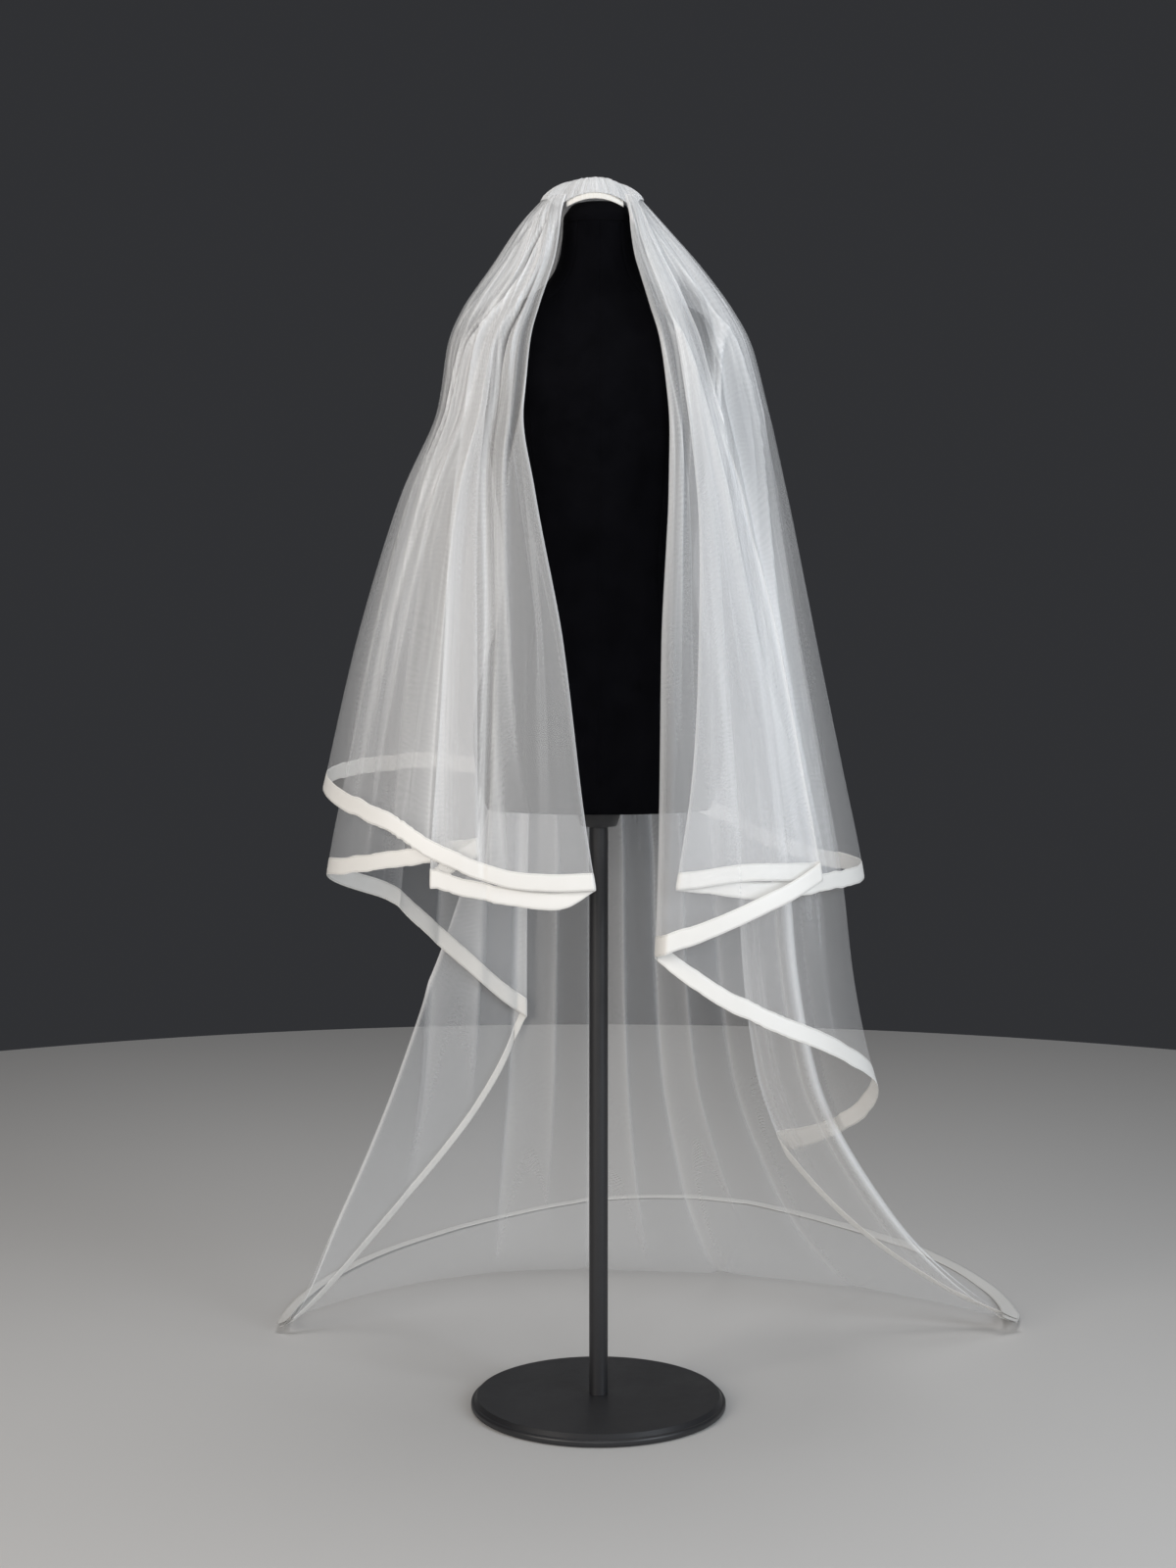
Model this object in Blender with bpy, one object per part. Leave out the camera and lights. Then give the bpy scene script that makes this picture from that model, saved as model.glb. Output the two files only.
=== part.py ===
"""Two-tier bridal veil of tulle with a ribbon edge, gathered on a comb and standing on a limbless dress form.
Metres, +Z up, the form faces -Y, and the origin is under the form on the floor."""

import math

import bmesh
import bpy
import numpy as np
from mathutils import Vector

WALL = 0.0010  # thickness of the tulle stretches
RIBBON_WALL = 0.0020  # satin folded over the tulle's edge
RIBBON_WIDTH = 0.022
SEAM = 0.0003  # gap between neighbouring pieces
EDGE_SEAM = 0.0008  # gap between the tulle and its ribbon
TURN_MAX = 0.009  # widest sideways radius of a turned fold

# The sizes of the hanging cloth at each height, seen from above: how far its outermost layer lies from the
# form's axis to the left, right, front and back, how far apart its layers hang, and how far it lies down (1).
LEVEL_COLUMNS = ("height", "left", "right", "front", "back", "layer_gap", "lying")
LEVELS = {
    "ring": (1.590, 0.069, 0.052, 0.034, 0.050, 0.0024, 0.0),
    "crown": (1.555, 0.101, 0.084, 0.052, 0.078, 0.0026, 0.0),
    "neck": (1.500, 0.139, 0.133, 0.072, 0.104, 0.0028, 0.0),
    "collar": (1.445, 0.177, 0.174, 0.092, 0.122, 0.0030, 0.0),
    "shoulder": (1.405, 0.194, 0.196, 0.106, 0.136, 0.0032, 0.0),
    "bust": (1.320, 0.208, 0.219, 0.148, 0.162, 0.0038, 0.0),
    "ribs": (1.210, 0.256, 0.245, 0.160, 0.184, 0.0050, 0.0),
    "waist": (1.020, 0.316, 0.284, 0.170, 0.208, 0.0070, 0.0),
    "hip": (0.850, 0.356, 0.320, 0.178, 0.236, 0.0085, 0.0),
    "thigh": (0.720, 0.385, 0.347, 0.184, 0.268, 0.0095, 0.0),
    "knee": (0.560, 0.405, 0.369, 0.188, 0.316, 0.0100, 0.0),
    "calf": (0.400, 0.425, 0.410, 0.190, 0.380, 0.0100, 0.0),
    "shin": (0.180, 0.490, 0.560, 0.190, 0.500, 0.0100, 0.0),
    "floor": (0.010, 0.545, 0.760, 0.190, 0.630, 0.0020, 1.0),
    "train": (0.0005, 0.640, 0.860, 0.190, 0.820, 0.0, 1.0),
    "end": (0.0005, 0.860, 0.960, 0.190, 1.200, 0.0, 1.0),
}
FIRST_ROWS = (0.0, 1.0, 2.0, 3.0, 4.0, 5.0)  # levels that all layers share, from the ring to the bust
FLOOR_LIFT = 0.0036  # height of a layer that lies over another on the floor
COLUMN_TURN = 0.27  # most that the cloth turns between two columns, in radians
COLUMN_SLANT = 0.13  # most that its edge drops between them
TURN_PLACES = (0.012, 0.05, 0.12)  # extra columns that round a turned end

# Lines down the cloth from the comb to the edge, in the order of the cloth. Each lies on the left front (LF),
# the right front (RF) or the back (BK) in a layer counted inwards. The shares are its sideways place at six
# heights, as a share of the cloth's half width there. The cut is the cloth's length along it, in metres.
LINE_COLUMNS = ("place", "layer", "ring", "neck", "bust", "ribs", "waist", "hem", "cut")
SHARE_LEVELS = (0, 2, 5, 6, 7)
LINES = {
    "upper_back": ("BK", 0, 0.00, 0.00, 0.00, 0.00, 0.00, 0.00, 0.80),
    "upper_back_left": ("BK", 0, -0.60, -0.55, -0.62, -0.64, -0.63, -0.62, 0.797),
    "upper_side_left": ("BK", 0, -0.90, -0.88, -0.92, -0.93, -0.94, -0.94, 0.817),
    "left_side": ("LF", 0, -1.00, -1.00, -1.00, -1.00, -1.00, -0.99, 0.832),
    "left_front_a": ("LF", 0, -0.97, -0.86, -0.87, -0.83, -0.76, -0.73, 0.855),
    "left_front_b": ("LF", 0, -0.92, -0.68, -0.70, -0.65, -0.58, -0.58, 0.876),
    "left_front_c": ("LF", 0, -0.76, -0.48, -0.51, -0.42, -0.32, -0.28, 0.905),
    "left_inner_fold": ("LF", 0.5, -0.61, -0.42, -0.455, -0.315, -0.142, -0.01, 0.912),
    "left_second_a": ("LF", 1, -0.74, -0.48, -0.54, -0.40, -0.247, -0.15, 0.936),
    "left_groove": ("LF", 1, -0.88, -0.62, -0.67, -0.56, -0.455, -0.39, 0.925),
    "left_outer_fold": ("LF", 1.5, -0.94, -0.82, -0.82, -0.73, -0.63, -0.57, 0.920),
    "left_hidden_fold": ("LF", 2.5, -0.86, -0.70, -0.70, -0.62, -0.512, -0.42, 0.872),
    "left_fourth_a": ("LF", 3, -0.95, -0.84, -0.85, -0.83, -0.78, -0.74, 0.902),
    "left_fourth_b": ("LF", 3, -0.987, -0.959, -0.962, -0.959, -0.946, -0.933, 0.927),
    "left_corner": ("LF", 3, -1.00, -1.00, -1.00, -1.00, -1.00, -1.00, 0.939),
    "left_rear_a": ("BK", 3, -0.97, -0.94, -0.93, -0.92, -0.87, -0.79, 0.990),
    "left_rear_b": ("BK", 3, -0.88, -0.84, -0.82, -0.80, -0.74, -0.67, 1.027),
    "left_rear_fold": ("BK", 2.5, -0.50, -0.46, -0.43, -0.37, -0.29, -0.26, 1.17),
    "left_train_fold": ("BK", 1.5, -0.72, -0.66, -0.60, -0.50, -0.36, -0.86, 1.70),
    "train_left": ("BK", 1, -0.40, -0.36, -0.34, -0.30, -0.26, -0.34, 2.04),
    "train_back": ("BK", 6, 0.05, 0.05, 0.06, 0.07, 0.10, 0.16, 2.28),
    "train_right": ("BK", 6, 0.46, 0.44, 0.44, 0.46, 0.48, 0.56, 2.10),
    "right_train_fold": ("BK", 5, 0.85, 0.76, 0.80, 0.82, 0.84, 0.84, 1.78),
    "right_bunch": ("BK", 4, 0.80, 0.68, 0.72, 0.74, 0.77, 0.80, 1.735),
    "right_rear_fold": ("BK", 3.5, 0.70, 0.58, 0.60, 0.60, 0.62, 0.60, 1.40),
    "right_rear_a": ("BK", 3, 0.88, 0.78, 0.78, 0.80, 0.82, 0.84, 1.334),
    "right_corner": ("RF", 3, 1.00, 1.00, 1.00, 1.00, 1.00, 1.00, 1.227),
    "right_lower_c": ("RF", 3, 0.982, 0.943, 0.933, 0.927, 0.914, 0.897, 1.171),
    "right_lower_b": ("RF", 3, 0.93, 0.78, 0.74, 0.72, 0.67, 0.61, 1.10),
    "right_lower_a": ("RF", 3, 0.82, 0.58, 0.58, 0.54, 0.46, 0.40, 1.05),
    "right_inner_fold": ("RF", 0.5, 0.66, 0.362, 0.394, 0.357, 0.28, 0.20, 0.99),
    "right_diagonal_a": ("RF", -2, 0.72, 0.47, 0.512, 0.52, 0.48, 0.41, 0.965),
    "right_outer_fold": ("RF", -1.5, 0.81, 0.64, 0.67, 0.71, 0.77, 0.78, 0.92),
    "right_second_a": ("RF", -1, 0.76, 0.56, 0.58, 0.58, 0.58, 0.51, 0.906),
    "right_middle_fold": ("RF", -0.5, 0.70, 0.48, 0.50, 0.49, 0.43, 0.27, 0.91),
    "right_third_a": ("RF", 0, 0.86, 0.68, 0.68, 0.68, 0.68, 0.63, 0.934),
    "right_side": ("RF", 0, 1.00, 1.00, 1.00, 1.00, 1.00, 0.97, 0.952),
    "upper_side_right": ("BK", 0, 0.86, 0.84, 0.86, 0.86, 0.86, 0.86, 0.94),
}

# The stretches of cloth between two folds, which show as pieces: first line, last line, the layer that each
# end lies in, whether the end turns into the next layer (1) or runs straight on (0), and its rows below
# the bust.
STRETCH_COLUMNS = ("first", "last", "first_layer", "last_layer", "first_turns", "last_turns", "rows")
# The first and last ends that lie over another layer on the floor.
FLOOR_OVER = {"long_back": (1, 0), "right_rear_pleat": (1, 1)}
STRETCHES = {
    "upper_back": ("right_side", "left_side", 0, 0, 0, 0, 5),
    "left_front": ("left_side", "left_inner_fold", 0, 0, 0, 1, 5),
    "left_second": ("left_inner_fold", "left_outer_fold", 1, 1, 1, 1, 5),
    "left_third": ("left_outer_fold", "left_hidden_fold", 2, 2, 1, 1, 5),
    "left_fourth": ("left_hidden_fold", "left_corner", 3, 3, 1, 0, 5),
    "left_rear": ("left_corner", "left_rear_fold", 3, 3, 0, 1, 10),
    "left_rear_pleat": ("left_rear_fold", "left_train_fold", 2, 2, 1, 1, 10),
    "long_back": ("left_train_fold", "right_train_fold", 1, 6, 1, 1, 10),
    "right_rear_pleat": ("right_train_fold", "right_rear_fold", 4, 4, 1, 1, 10),
    "right_rear": ("right_rear_fold", "right_corner", 3, 3, 1, 0, 10),
    "right_lower": ("right_corner", "right_inner_fold", 3, 3, 0, 1, 5),
    "right_diagonal": ("right_inner_fold", "right_outer_fold", -2, -2, 1, 1, 5),
    "right_second": ("right_outer_fold", "right_middle_fold", -1, -1, 1, 1, 5),
    "right_third": ("right_middle_fold", "right_side", 0, 0, 1, 0, 5),
}

# The dress form's sections: height, half width, depth to the front and depth to the back.
FORM_SECTIONS = (
    (0.800, 0.146, 0.084, 0.100),
    (0.830, 0.158, 0.092, 0.110),
    (0.900, 0.166, 0.097, 0.114),
    (0.980, 0.152, 0.092, 0.100),
    (1.050, 0.130, 0.086, 0.082),
    (1.100, 0.122, 0.084, 0.076),
    (1.160, 0.126, 0.094, 0.080),
    (1.230, 0.137, 0.114, 0.088),
    (1.290, 0.145, 0.122, 0.094),
    (1.340, 0.151, 0.110, 0.098),
    (1.385, 0.160, 0.086, 0.096),
    (1.415, 0.164, 0.066, 0.086),
    (1.432, 0.152, 0.056, 0.076),
    (1.450, 0.118, 0.050, 0.066),
    (1.466, 0.082, 0.047, 0.058),
    (1.484, 0.058, 0.045, 0.050),
    (1.510, 0.048, 0.044, 0.046),
    (1.556, 0.046, 0.044, 0.046),
)
FORM_SIDES = 40
NECK_CAP = (
    (1.5563, 0.046),
    (1.5640, 0.0455),
    (1.5705, 0.041),
    (1.5755, 0.032),
    (1.5785, 0.018),
    (1.5790, 0.008),
)
BASE_RADIUS = 0.170
BASE_HEIGHT = 0.016
POLE_RADIUS = 0.0125
COLLAR_RADIUS = 0.030
COLLAR_HEIGHT = 0.022

COMB_CENTRE = -0.005
COMB_HALF = 0.0350
COMB_TEETH = 11
TOOTH_LENGTH = 0.034
BAND_FRONT = -0.0345  # front of the satin band at its middle
BAND_THICKNESS = 0.0030
BAND_HEIGHT = 0.0085
BAND_BASE = 1.5835  # lower edge of the satin band at its middle
BAND_DROP = 0.0090  # how much lower its ends are
BAND_BEND = 0.0085  # how much further back its ends are
HEADER_BASE = 1.5925
HEADER_TOP = 1.6150
HEADER_RIM = 0.0010
HEADER_SHARES = (1.0, 0.88, 0.70, 0.45, 0.20)  # the dome's rings, as shares of its half width
HEADER_RUCHES = 18

COLOURS = {
    "tulle": ((0.86, 0.87, 0.88), 0.60, 0.0),
    "satin": ((0.90, 0.88, 0.85), 0.32, 0.0),
    "velvet": ((0.010, 0.010, 0.012), 0.90, 0.0),
    "comb_plastic": ((0.85, 0.86, 0.87), 0.25, 0.0),
    "stand_metal": ((0.02, 0.02, 0.022), 0.45, 0.6),
}


def monotone(x, knots, values):
    """A smooth curve through the values that never overshoots them (a monotone cubic).

    x is a number or an array. With a number, values may be rows: each of their columns has its own curve."""
    knots, values = np.asarray(knots, float), np.asarray(values, float)
    if len(knots) == 1:
        return values[0]
    steps = np.diff(knots)
    slopes = (np.diff(values, axis=0).T / steps).T
    tangents = np.zeros_like(values)
    tangents[0], tangents[-1] = slopes[0], slopes[-1]
    for i in range(1, len(knots) - 1):
        before, after = slopes[i - 1], slopes[i]
        w1, w2 = 2 * steps[i] + steps[i - 1], steps[i] + 2 * steps[i - 1]
        same = before * after > 0
        harmonic = w1 / np.where(same, before, 1.0) + w2 / np.where(same, after, 1.0)
        tangents[i] = np.where(same, (w1 + w2) / harmonic, 0.0)
    x = np.clip(x, knots[0], knots[-1])
    i = np.clip(np.searchsorted(knots, x) - 1, 0, len(knots) - 2)
    h, t = steps[i], (x - knots[i]) / steps[i]
    start = values[i] * (1 + 2 * t) * (1 - t) ** 2 + h * tangents[i] * t * (1 - t) ** 2
    return start + values[i + 1] * t * t * (3 - 2 * t) + h * tangents[i + 1] * t * t * (t - 1)


# Places down the cloth at which its paths are worked out, and the sizes of LEVELS at each.
LEVEL_STEPS = np.linspace(0, len(LEVELS) - 1, 16 * (len(LEVELS) - 1) + 1)
LEVEL_TABLE = np.array(list(LEVELS.values()))
SIZES = dict(zip(LEVEL_COLUMNS, (monotone(LEVEL_STEPS, range(len(LEVELS)), c) for c in LEVEL_TABLE.T)))


def half_sizes(angle):
    """How far the outermost layer lies from the axis, sideways and in depth, on this angle's sides."""
    across = np.where(np.sin(angle) > 0, SIZES["right"], SIZES["left"])
    return across, np.where(np.cos(angle) > 0, SIZES["back"], SIZES["front"])


def line_angle(place, share):
    """The angle of a line that lies at this share of the half width."""
    if place == "BK":
        return math.asin(share)
    return (math.pi if place == "RF" else -math.pi) - math.asin(share)


def lay_path(angle, layer):
    """The middle of the cloth's wall from the ring down, where it lies at these angles and in these layers."""
    across, deep = half_sizes(angle)
    inwards = layer * SIZES["layer_gap"]
    x, y = (across - inwards) * np.sin(angle), (deep - inwards) * np.cos(angle)
    return np.column_stack([x, y, SIZES["height"]])


def run_along(path):
    """The length of a path from its start to each of its points."""
    return np.concatenate([[0], np.cumsum(np.linalg.norm(np.diff(path, axis=0), axis=1))])


def line_angles(name):
    """A line's angle at each step of level. Its last share is reached at its hem, which its cut gives."""
    place, layer, *shares, cut = LINES[name]
    hem = 9.0
    for _ in range(5):
        knots = (*SHARE_LEVELS, min(hem, LEVEL_STEPS[-1]))
        angles = monotone(LEVEL_STEPS, knots, [line_angle(place, share) for share in shares])
        hem = float(np.interp(cut, run_along(lay_path(angles, layer)), LEVEL_STEPS))
    return angles


def along(path, lengths, values=None):
    """The points of a path at these lengths from its start, or the values that it has there."""
    run = run_along(path)
    values = path if values is None else values
    return np.column_stack([np.interp(lengths, run, values[:, i]) for i in range(3)])


def ribbon_lengths():
    """The ribbon's length along each line: longer where the edge slants, so that its true width stays."""
    hems = []
    for name, (_, layer, *_, cut) in LINES.items():
        hems.append(along(lay_path(line_angles(name), layer), [cut - RIBBON_WIDTH, cut]))
    slants = []
    for (above, edge), (_, next_edge) in zip(hems, hems[1:] + hems[:1]):
        down, aside = edge - above, next_edge - edge
        sine = np.linalg.norm(np.cross(down, aside)) / np.linalg.norm(down) / np.linalg.norm(aside)
        slants.append(1 / max(sine, 0.4))
    return {name: RIBBON_WIDTH * (slants[i - 1] + slants[i]) / 2 for i, name in enumerate(LINES)}


RIBBON_LENGTHS = ribbon_lengths()


def stretch_lines(name):
    """The names of a stretch's lines, in order. The cloth is a ring, so the list may run past its end."""
    names, first, last = list(LINES), STRETCHES[name][0], STRETCHES[name][1]
    start, stop = names.index(first), names.index(last)
    if stop <= start:
        stop += len(names)
    return [names[i % len(names)] for i in range(start, stop + 1)]


class Stretch:
    """One stretch of cloth between two folds, read at a place from 0 to its last line's number."""

    def __init__(self, name):
        self.lines = stretch_lines(name)
        _, _, first_layer, last_layer, *turns, self.rows = STRETCHES[name]
        self.last = len(self.lines) - 1
        self.numbers = range(self.last + 1)
        self.angles = np.array([line_angles(line) for line in self.lines])
        self.layers = [float(LINES[line][1]) for line in self.lines]
        self.over = FLOOR_OVER.get(name, (0, 0))
        self.turned = [0.0, 0.0]
        for end, (index, layer) in enumerate(((0, first_layer), (self.last, last_layer))):
            if turns[end]:
                self.turned[end] = self.layers[index] - layer
            self.layers[index] = float(layer)
        self.cuts = [(LINES[line][-1], RIBBON_LENGTHS[line]) for line in self.lines]

    def cut(self, place):
        """The cloth's length at a place, and the ribbon's."""
        return monotone(place, self.numbers, self.cuts)

    def path(self, place):
        """The middle of the wall from the ring down, its turned ends rounded into the next layer."""
        angle = monotone(place, self.numbers, self.angles)
        layer = monotone(place, self.numbers, self.layers) + np.zeros_like(angle)
        gap = np.maximum(SIZES["layer_gap"], SEAM)
        for end, shift in enumerate(self.turned):
            if not shift:
                continue
            edge = self.angles[-end]
            across, deep = half_sizes(edge)
            arc = np.hypot(across * np.cos(edge), deep * np.sin(edge))
            reach = np.minimum(abs(shift) * gap, TURN_MAX) / arc
            near = np.clip(abs(angle - edge) / reach, 0, 1)
            room = shift - math.copysign(SEAM / 2, shift) / gap
            layer += (1 - SIZES["lying"]) * room * (1 - np.sqrt(1 - (1 - near) ** 2))
        path = lay_path(angle, layer)
        path[:, 2] += FLOOR_LIFT * np.interp(place, (0, self.last), self.over) * SIZES["lying"]
        return path

    def end_direction(self, end):
        """The way the cloth runs on at its first end (0) or last end (1), at each step of level.

        A turned end runs on into the next layer where it hangs, and lies flat on the floor."""
        edge, layer, shift = self.angles[-end], self.layers[-end], self.turned[end]
        step = 0.001 * np.sign(self.angles[-1] - self.angles[0])
        away = lay_path(edge + step, layer) - lay_path(edge - step, layer)
        away /= np.linalg.norm(away, axis=1, keepdims=True)
        if shift:
            inwards = lay_path(edge, layer + shift) - lay_path(edge, layer)
            inwards *= (1 if end else -1) / np.maximum(np.linalg.norm(inwards, axis=1, keepdims=True), 1e-9)
            away = inwards + (away - inwards) * SIZES["lying"][:, None]
        return away / np.linalg.norm(away, axis=1, keepdims=True)

    def places(self):
        """Column places: close together in a turned end, and even between two lines."""
        turns = np.max(abs(np.diff(self.angles, axis=0)), axis=1)
        slants = abs(np.diff([cut for cut, _ in self.cuts]))
        found = []
        for number, (turn, slant) in enumerate(zip(turns, slants)):
            fewest = 2 if self.last < 3 else 1
            parts = max(fewest, math.ceil(turn / COLUMN_TURN), math.ceil(slant / COLUMN_SLANT))
            found += [number + part / parts for part in range(parts)]
        found.append(float(self.last))
        for end, shift in enumerate(self.turned):
            if shift:
                found += [self.last - extra if end else extra for extra in TURN_PLACES]
        return sorted(found)


def wall_mesh(name, grid, down, ends, thickness):
    """A closed wall about a grid of points, row by row.

    It is given which way the cloth runs down at each point, and across at its two sides."""
    rows, columns, _ = grid.shape
    across = np.gradient(grid, axis=1)
    across[:, 0], across[:, -1] = ends
    normals = np.cross(down, across)
    normals /= np.maximum(np.linalg.norm(normals, axis=2, keepdims=True), 1e-9)
    outer = grid + normals * thickness / 2
    inner = grid - normals * thickness / 2
    for side in (outer, inner):
        side[:, :, 2] = np.maximum(side[:, :, 2], 0.0)
    mesh = bmesh.new()
    sides = [[[mesh.verts.new(p) for p in row] for row in side] for side in (outer, inner)]
    for r in range(rows - 1):
        for c in range(columns - 1):
            out, back = sides
            mesh.faces.new((out[r][c], out[r + 1][c], out[r + 1][c + 1], out[r][c + 1]))
            mesh.faces.new((back[r][c], back[r][c + 1], back[r + 1][c + 1], back[r + 1][c]))
    rim = [(0, c) for c in range(columns)] + [(r, columns - 1) for r in range(1, rows)]
    rim += [(rows - 1, c) for c in range(columns - 2, -1, -1)] + [(r, 0) for r in range(rows - 2, 0, -1)]
    for (r0, c0), (r1, c1) in zip(rim, rim[1:] + rim[:1]):
        mesh.faces.new((sides[0][r0][c0], sides[0][r1][c1], sides[1][r1][c1], sides[1][r0][c0]))
    bmesh.ops.triangulate(mesh, faces=mesh.faces[:])
    return finish_mesh(name, mesh)


def finish_mesh(name, mesh):
    """Turns the faces outward and makes the object."""
    bmesh.ops.recalc_face_normals(mesh, faces=mesh.faces[:])
    data = bpy.data.meshes.new(name)
    mesh.to_mesh(data)
    mesh.free()
    thing = bpy.data.objects.new(name, data)
    bpy.context.collection.objects.link(thing)
    return thing


def paint(thing, colour_name):
    """Gives an object its material, made the first time it is used."""
    material = bpy.data.materials.get(colour_name)
    if material is None:
        colour, roughness, metallic = COLOURS[colour_name]
        material = bpy.data.materials.new(colour_name)
        material.use_nodes = True
        shader = material.node_tree.nodes["Principled BSDF"]
        shader.inputs["Base Color"].default_value = (*colour, 1.0)
        shader.inputs["Roughness"].default_value = roughness
        shader.inputs["Metallic"].default_value = metallic
    thing.data.materials.append(material)
    return thing


def make_stretch(name):
    """A stretch of tulle and the ribbon along its edge."""
    cloth = Stretch(name)
    upper_steps = [int(np.argmin(abs(LEVEL_STEPS - level))) for level in FIRST_ROWS]
    for kind, slot, wall in (("tulle", "tulle", WALL), ("ribbon", "satin", RIBBON_WALL)):
        columns, downs, ends = [], [], []
        for place in cloth.places():
            path = cloth.path(place)
            cut, ribbon_length = cloth.cut(place)
            lengths = np.array([cut - ribbon_length, cut])
            if kind == "tulle":
                upper = run_along(path)[upper_steps]
                seam = lengths[0] - EDGE_SEAM * (ribbon_length / RIBBON_WIDTH) ** 2
                lengths = np.append(upper, np.linspace(upper[-1], seam, cloth.rows + 1)[1:])
            columns.append(along(path, lengths))
            downs.append(along(path, lengths, np.gradient(path, axis=0)))
            if place in (0, cloth.last):
                ends.append(along(path, lengths, cloth.end_direction(int(place > 0))))
        for end, way in ((0, 1), (-1, -1)):
            if not cloth.turned[end]:
                columns[end] += way * ends[end] * SEAM / 2
        grid, down = np.stack(columns, axis=1), np.stack(downs, axis=1)
        paint(wall_mesh(f"{kind}_{name}", grid, down, ends, wall), slot)


def loft(name, sections, sides, centre=(0.0, 0.0)):
    """A closed solid through level oval sections: height, half width, depth to the front and to the back."""
    mesh = bmesh.new()
    rings = []
    for height, half, front, back in sections:
        ring = []
        for i in range(sides):
            turn = 2 * math.pi * i / sides
            deep = back if math.sin(turn) > 0 else front
            x, y = centre[0] + half * math.cos(turn), centre[1] + deep * math.sin(turn)
            ring.append(mesh.verts.new((x, y, height)))
        rings.append(ring)
    for low, high in zip(rings, rings[1:]):
        for i in range(sides):
            j = (i + 1) % sides
            mesh.faces.new((low[i], low[j], high[j], high[i]))
    mesh.faces.new(rings[0][::-1])
    mesh.faces.new(rings[-1])
    return finish_mesh(name, mesh)


def turned(name, profile, sides):
    """A solid turned about the form's axis: height and radius, from the bottom up."""
    return loft(name, [(height, radius, radius, radius) for height, radius in profile], sides)


def make_form():
    """The torso with its neck, the cap on the neck, and the stand."""
    paint(loft("form_torso", FORM_SECTIONS, FORM_SIDES), "velvet")
    paint(turned("form_neck_cap", NECK_CAP, 32), "velvet")
    bottom = FORM_SECTIONS[0][0]
    edge = 0.003
    base = (
        (0.0, BASE_RADIUS - edge),
        (edge, BASE_RADIUS),
        (BASE_HEIGHT - 2 * edge, BASE_RADIUS),
        (BASE_HEIGHT, BASE_RADIUS - 3 * edge),
    )
    paint(turned("stand_base", base, 48), "stand_metal")
    pole_top = bottom - COLLAR_HEIGHT - 2 * SEAM
    pole = ((BASE_HEIGHT + SEAM, POLE_RADIUS), (pole_top, POLE_RADIUS))
    paint(turned("stand_pole", pole, 20), "stand_metal")
    collar = (
        (pole_top + SEAM, COLLAR_RADIUS * 0.8),
        (bottom - edge, COLLAR_RADIUS),
        (bottom - SEAM, COLLAR_RADIUS),
    )
    paint(turned("stand_collar", collar, 24), "stand_metal")


def band_line(share):
    """A point on the comb's curve, at a share of its half width: x, y of the band's front, and lower edge."""
    x = COMB_CENTRE + COMB_HALF * share
    return x, BAND_FRONT + BAND_BEND * share**2, BAND_BASE - BAND_DROP * share**2


def arc_bar(name, share_end, front, back, low, high, steps):
    """A bar along the comb's curve: distances behind the band's front, and heights above its lower edge."""
    mesh = bmesh.new()
    rings = []
    for i in range(steps + 1):
        x, y, z = band_line(share_end * (2 * i / steps - 1))
        corners = ((y + front, z + low), (y + back, z + low), (y + back, z + high), (y + front, z + high))
        rings.append([mesh.verts.new((x, yy, zz)) for yy, zz in corners])
    for one, two in zip(rings, rings[1:]):
        for i in range(4):
            j = (i + 1) % 4
            mesh.faces.new((one[i], one[j], two[j], two[i]))
    mesh.faces.new(rings[0])
    mesh.faces.new(rings[-1][::-1])
    return finish_mesh(name, mesh)


def make_comb():
    """The comb under the gathers: its teeth point to the back, and a satin band covers its bar."""
    paint(arc_bar("satin_band", 1.04, 0.0, BAND_THICKNESS, 0.0, BAND_HEIGHT, 14), "satin")
    bar_front = BAND_THICKNESS + SEAM
    bar_back = bar_front + 0.003
    comb = arc_bar("comb", 1.0, bar_front, bar_back, 0.0040, 0.0080, 14)
    for i in range(COMB_TEETH):
        x, y, z = band_line(0.94 * (2 * i / (COMB_TEETH - 1) - 1))
        low = (x - 0.0009, y + bar_back - 0.0012, z + 0.0050)
        tooth = box(f"tooth_{i}", low, (x + 0.0009, y + TOOTH_LENGTH, z + 0.0066))
        join = comb.modifiers.new(f"tooth_{i}", "BOOLEAN")
        join.operation, join.solver, join.object = "UNION", "EXACT", tooth
        tooth.hide_render = True
        tooth.display_type = "WIRE"
    paint(comb, "comb_plastic")


def box(name, low, high):
    """A plain box between two corners."""
    mesh = bmesh.new()
    bmesh.ops.create_cube(mesh, size=1.0)
    for vert in mesh.verts:
        vert.co = Vector([low[i] if vert.co[i] < 0 else high[i] for i in range(3)])
    return finish_mesh(name, mesh)


def make_header():
    """The gathered crown over the comb: a low ruched dome that covers the cloth's start."""
    _, left, right, front, back, grow, _ = LEVELS["ring"]
    sides = 3 * HEADER_RUCHES
    mesh = bmesh.new()
    rings = []
    rim = HEADER_BASE + HEADER_RIM
    profile = [(1.0, HEADER_BASE)]
    profile += [(share, HEADER_TOP - (HEADER_TOP - rim) * share**2.2) for share in HEADER_SHARES]
    for number, (share, height) in enumerate(profile):
        ring = []
        for i in range(sides):
            turn = 2 * math.pi * i / sides
            across = (right if math.cos(turn) > 0 else left) + grow
            deep = (back if math.sin(turn) > 0 else front) + grow
            ruche = 1 + (0.012 * math.cos(HEADER_RUCHES * turn) if number > 1 else 0.0)
            point = (across * share * ruche * math.cos(turn), deep * share * ruche * math.sin(turn), height)
            ring.append(mesh.verts.new(point))
        rings.append(ring)
    for low, high in zip(rings, rings[1:]):
        for i in range(sides):
            j = (i + 1) % sides
            mesh.faces.new((low[i], low[j], high[j], high[i]))
    mesh.faces.new(rings[0][::-1])
    mesh.faces.new(rings[-1])
    bmesh.ops.triangulate(mesh, faces=mesh.faces[:])
    paint(finish_mesh("gathered_header", mesh), "tulle")


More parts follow.
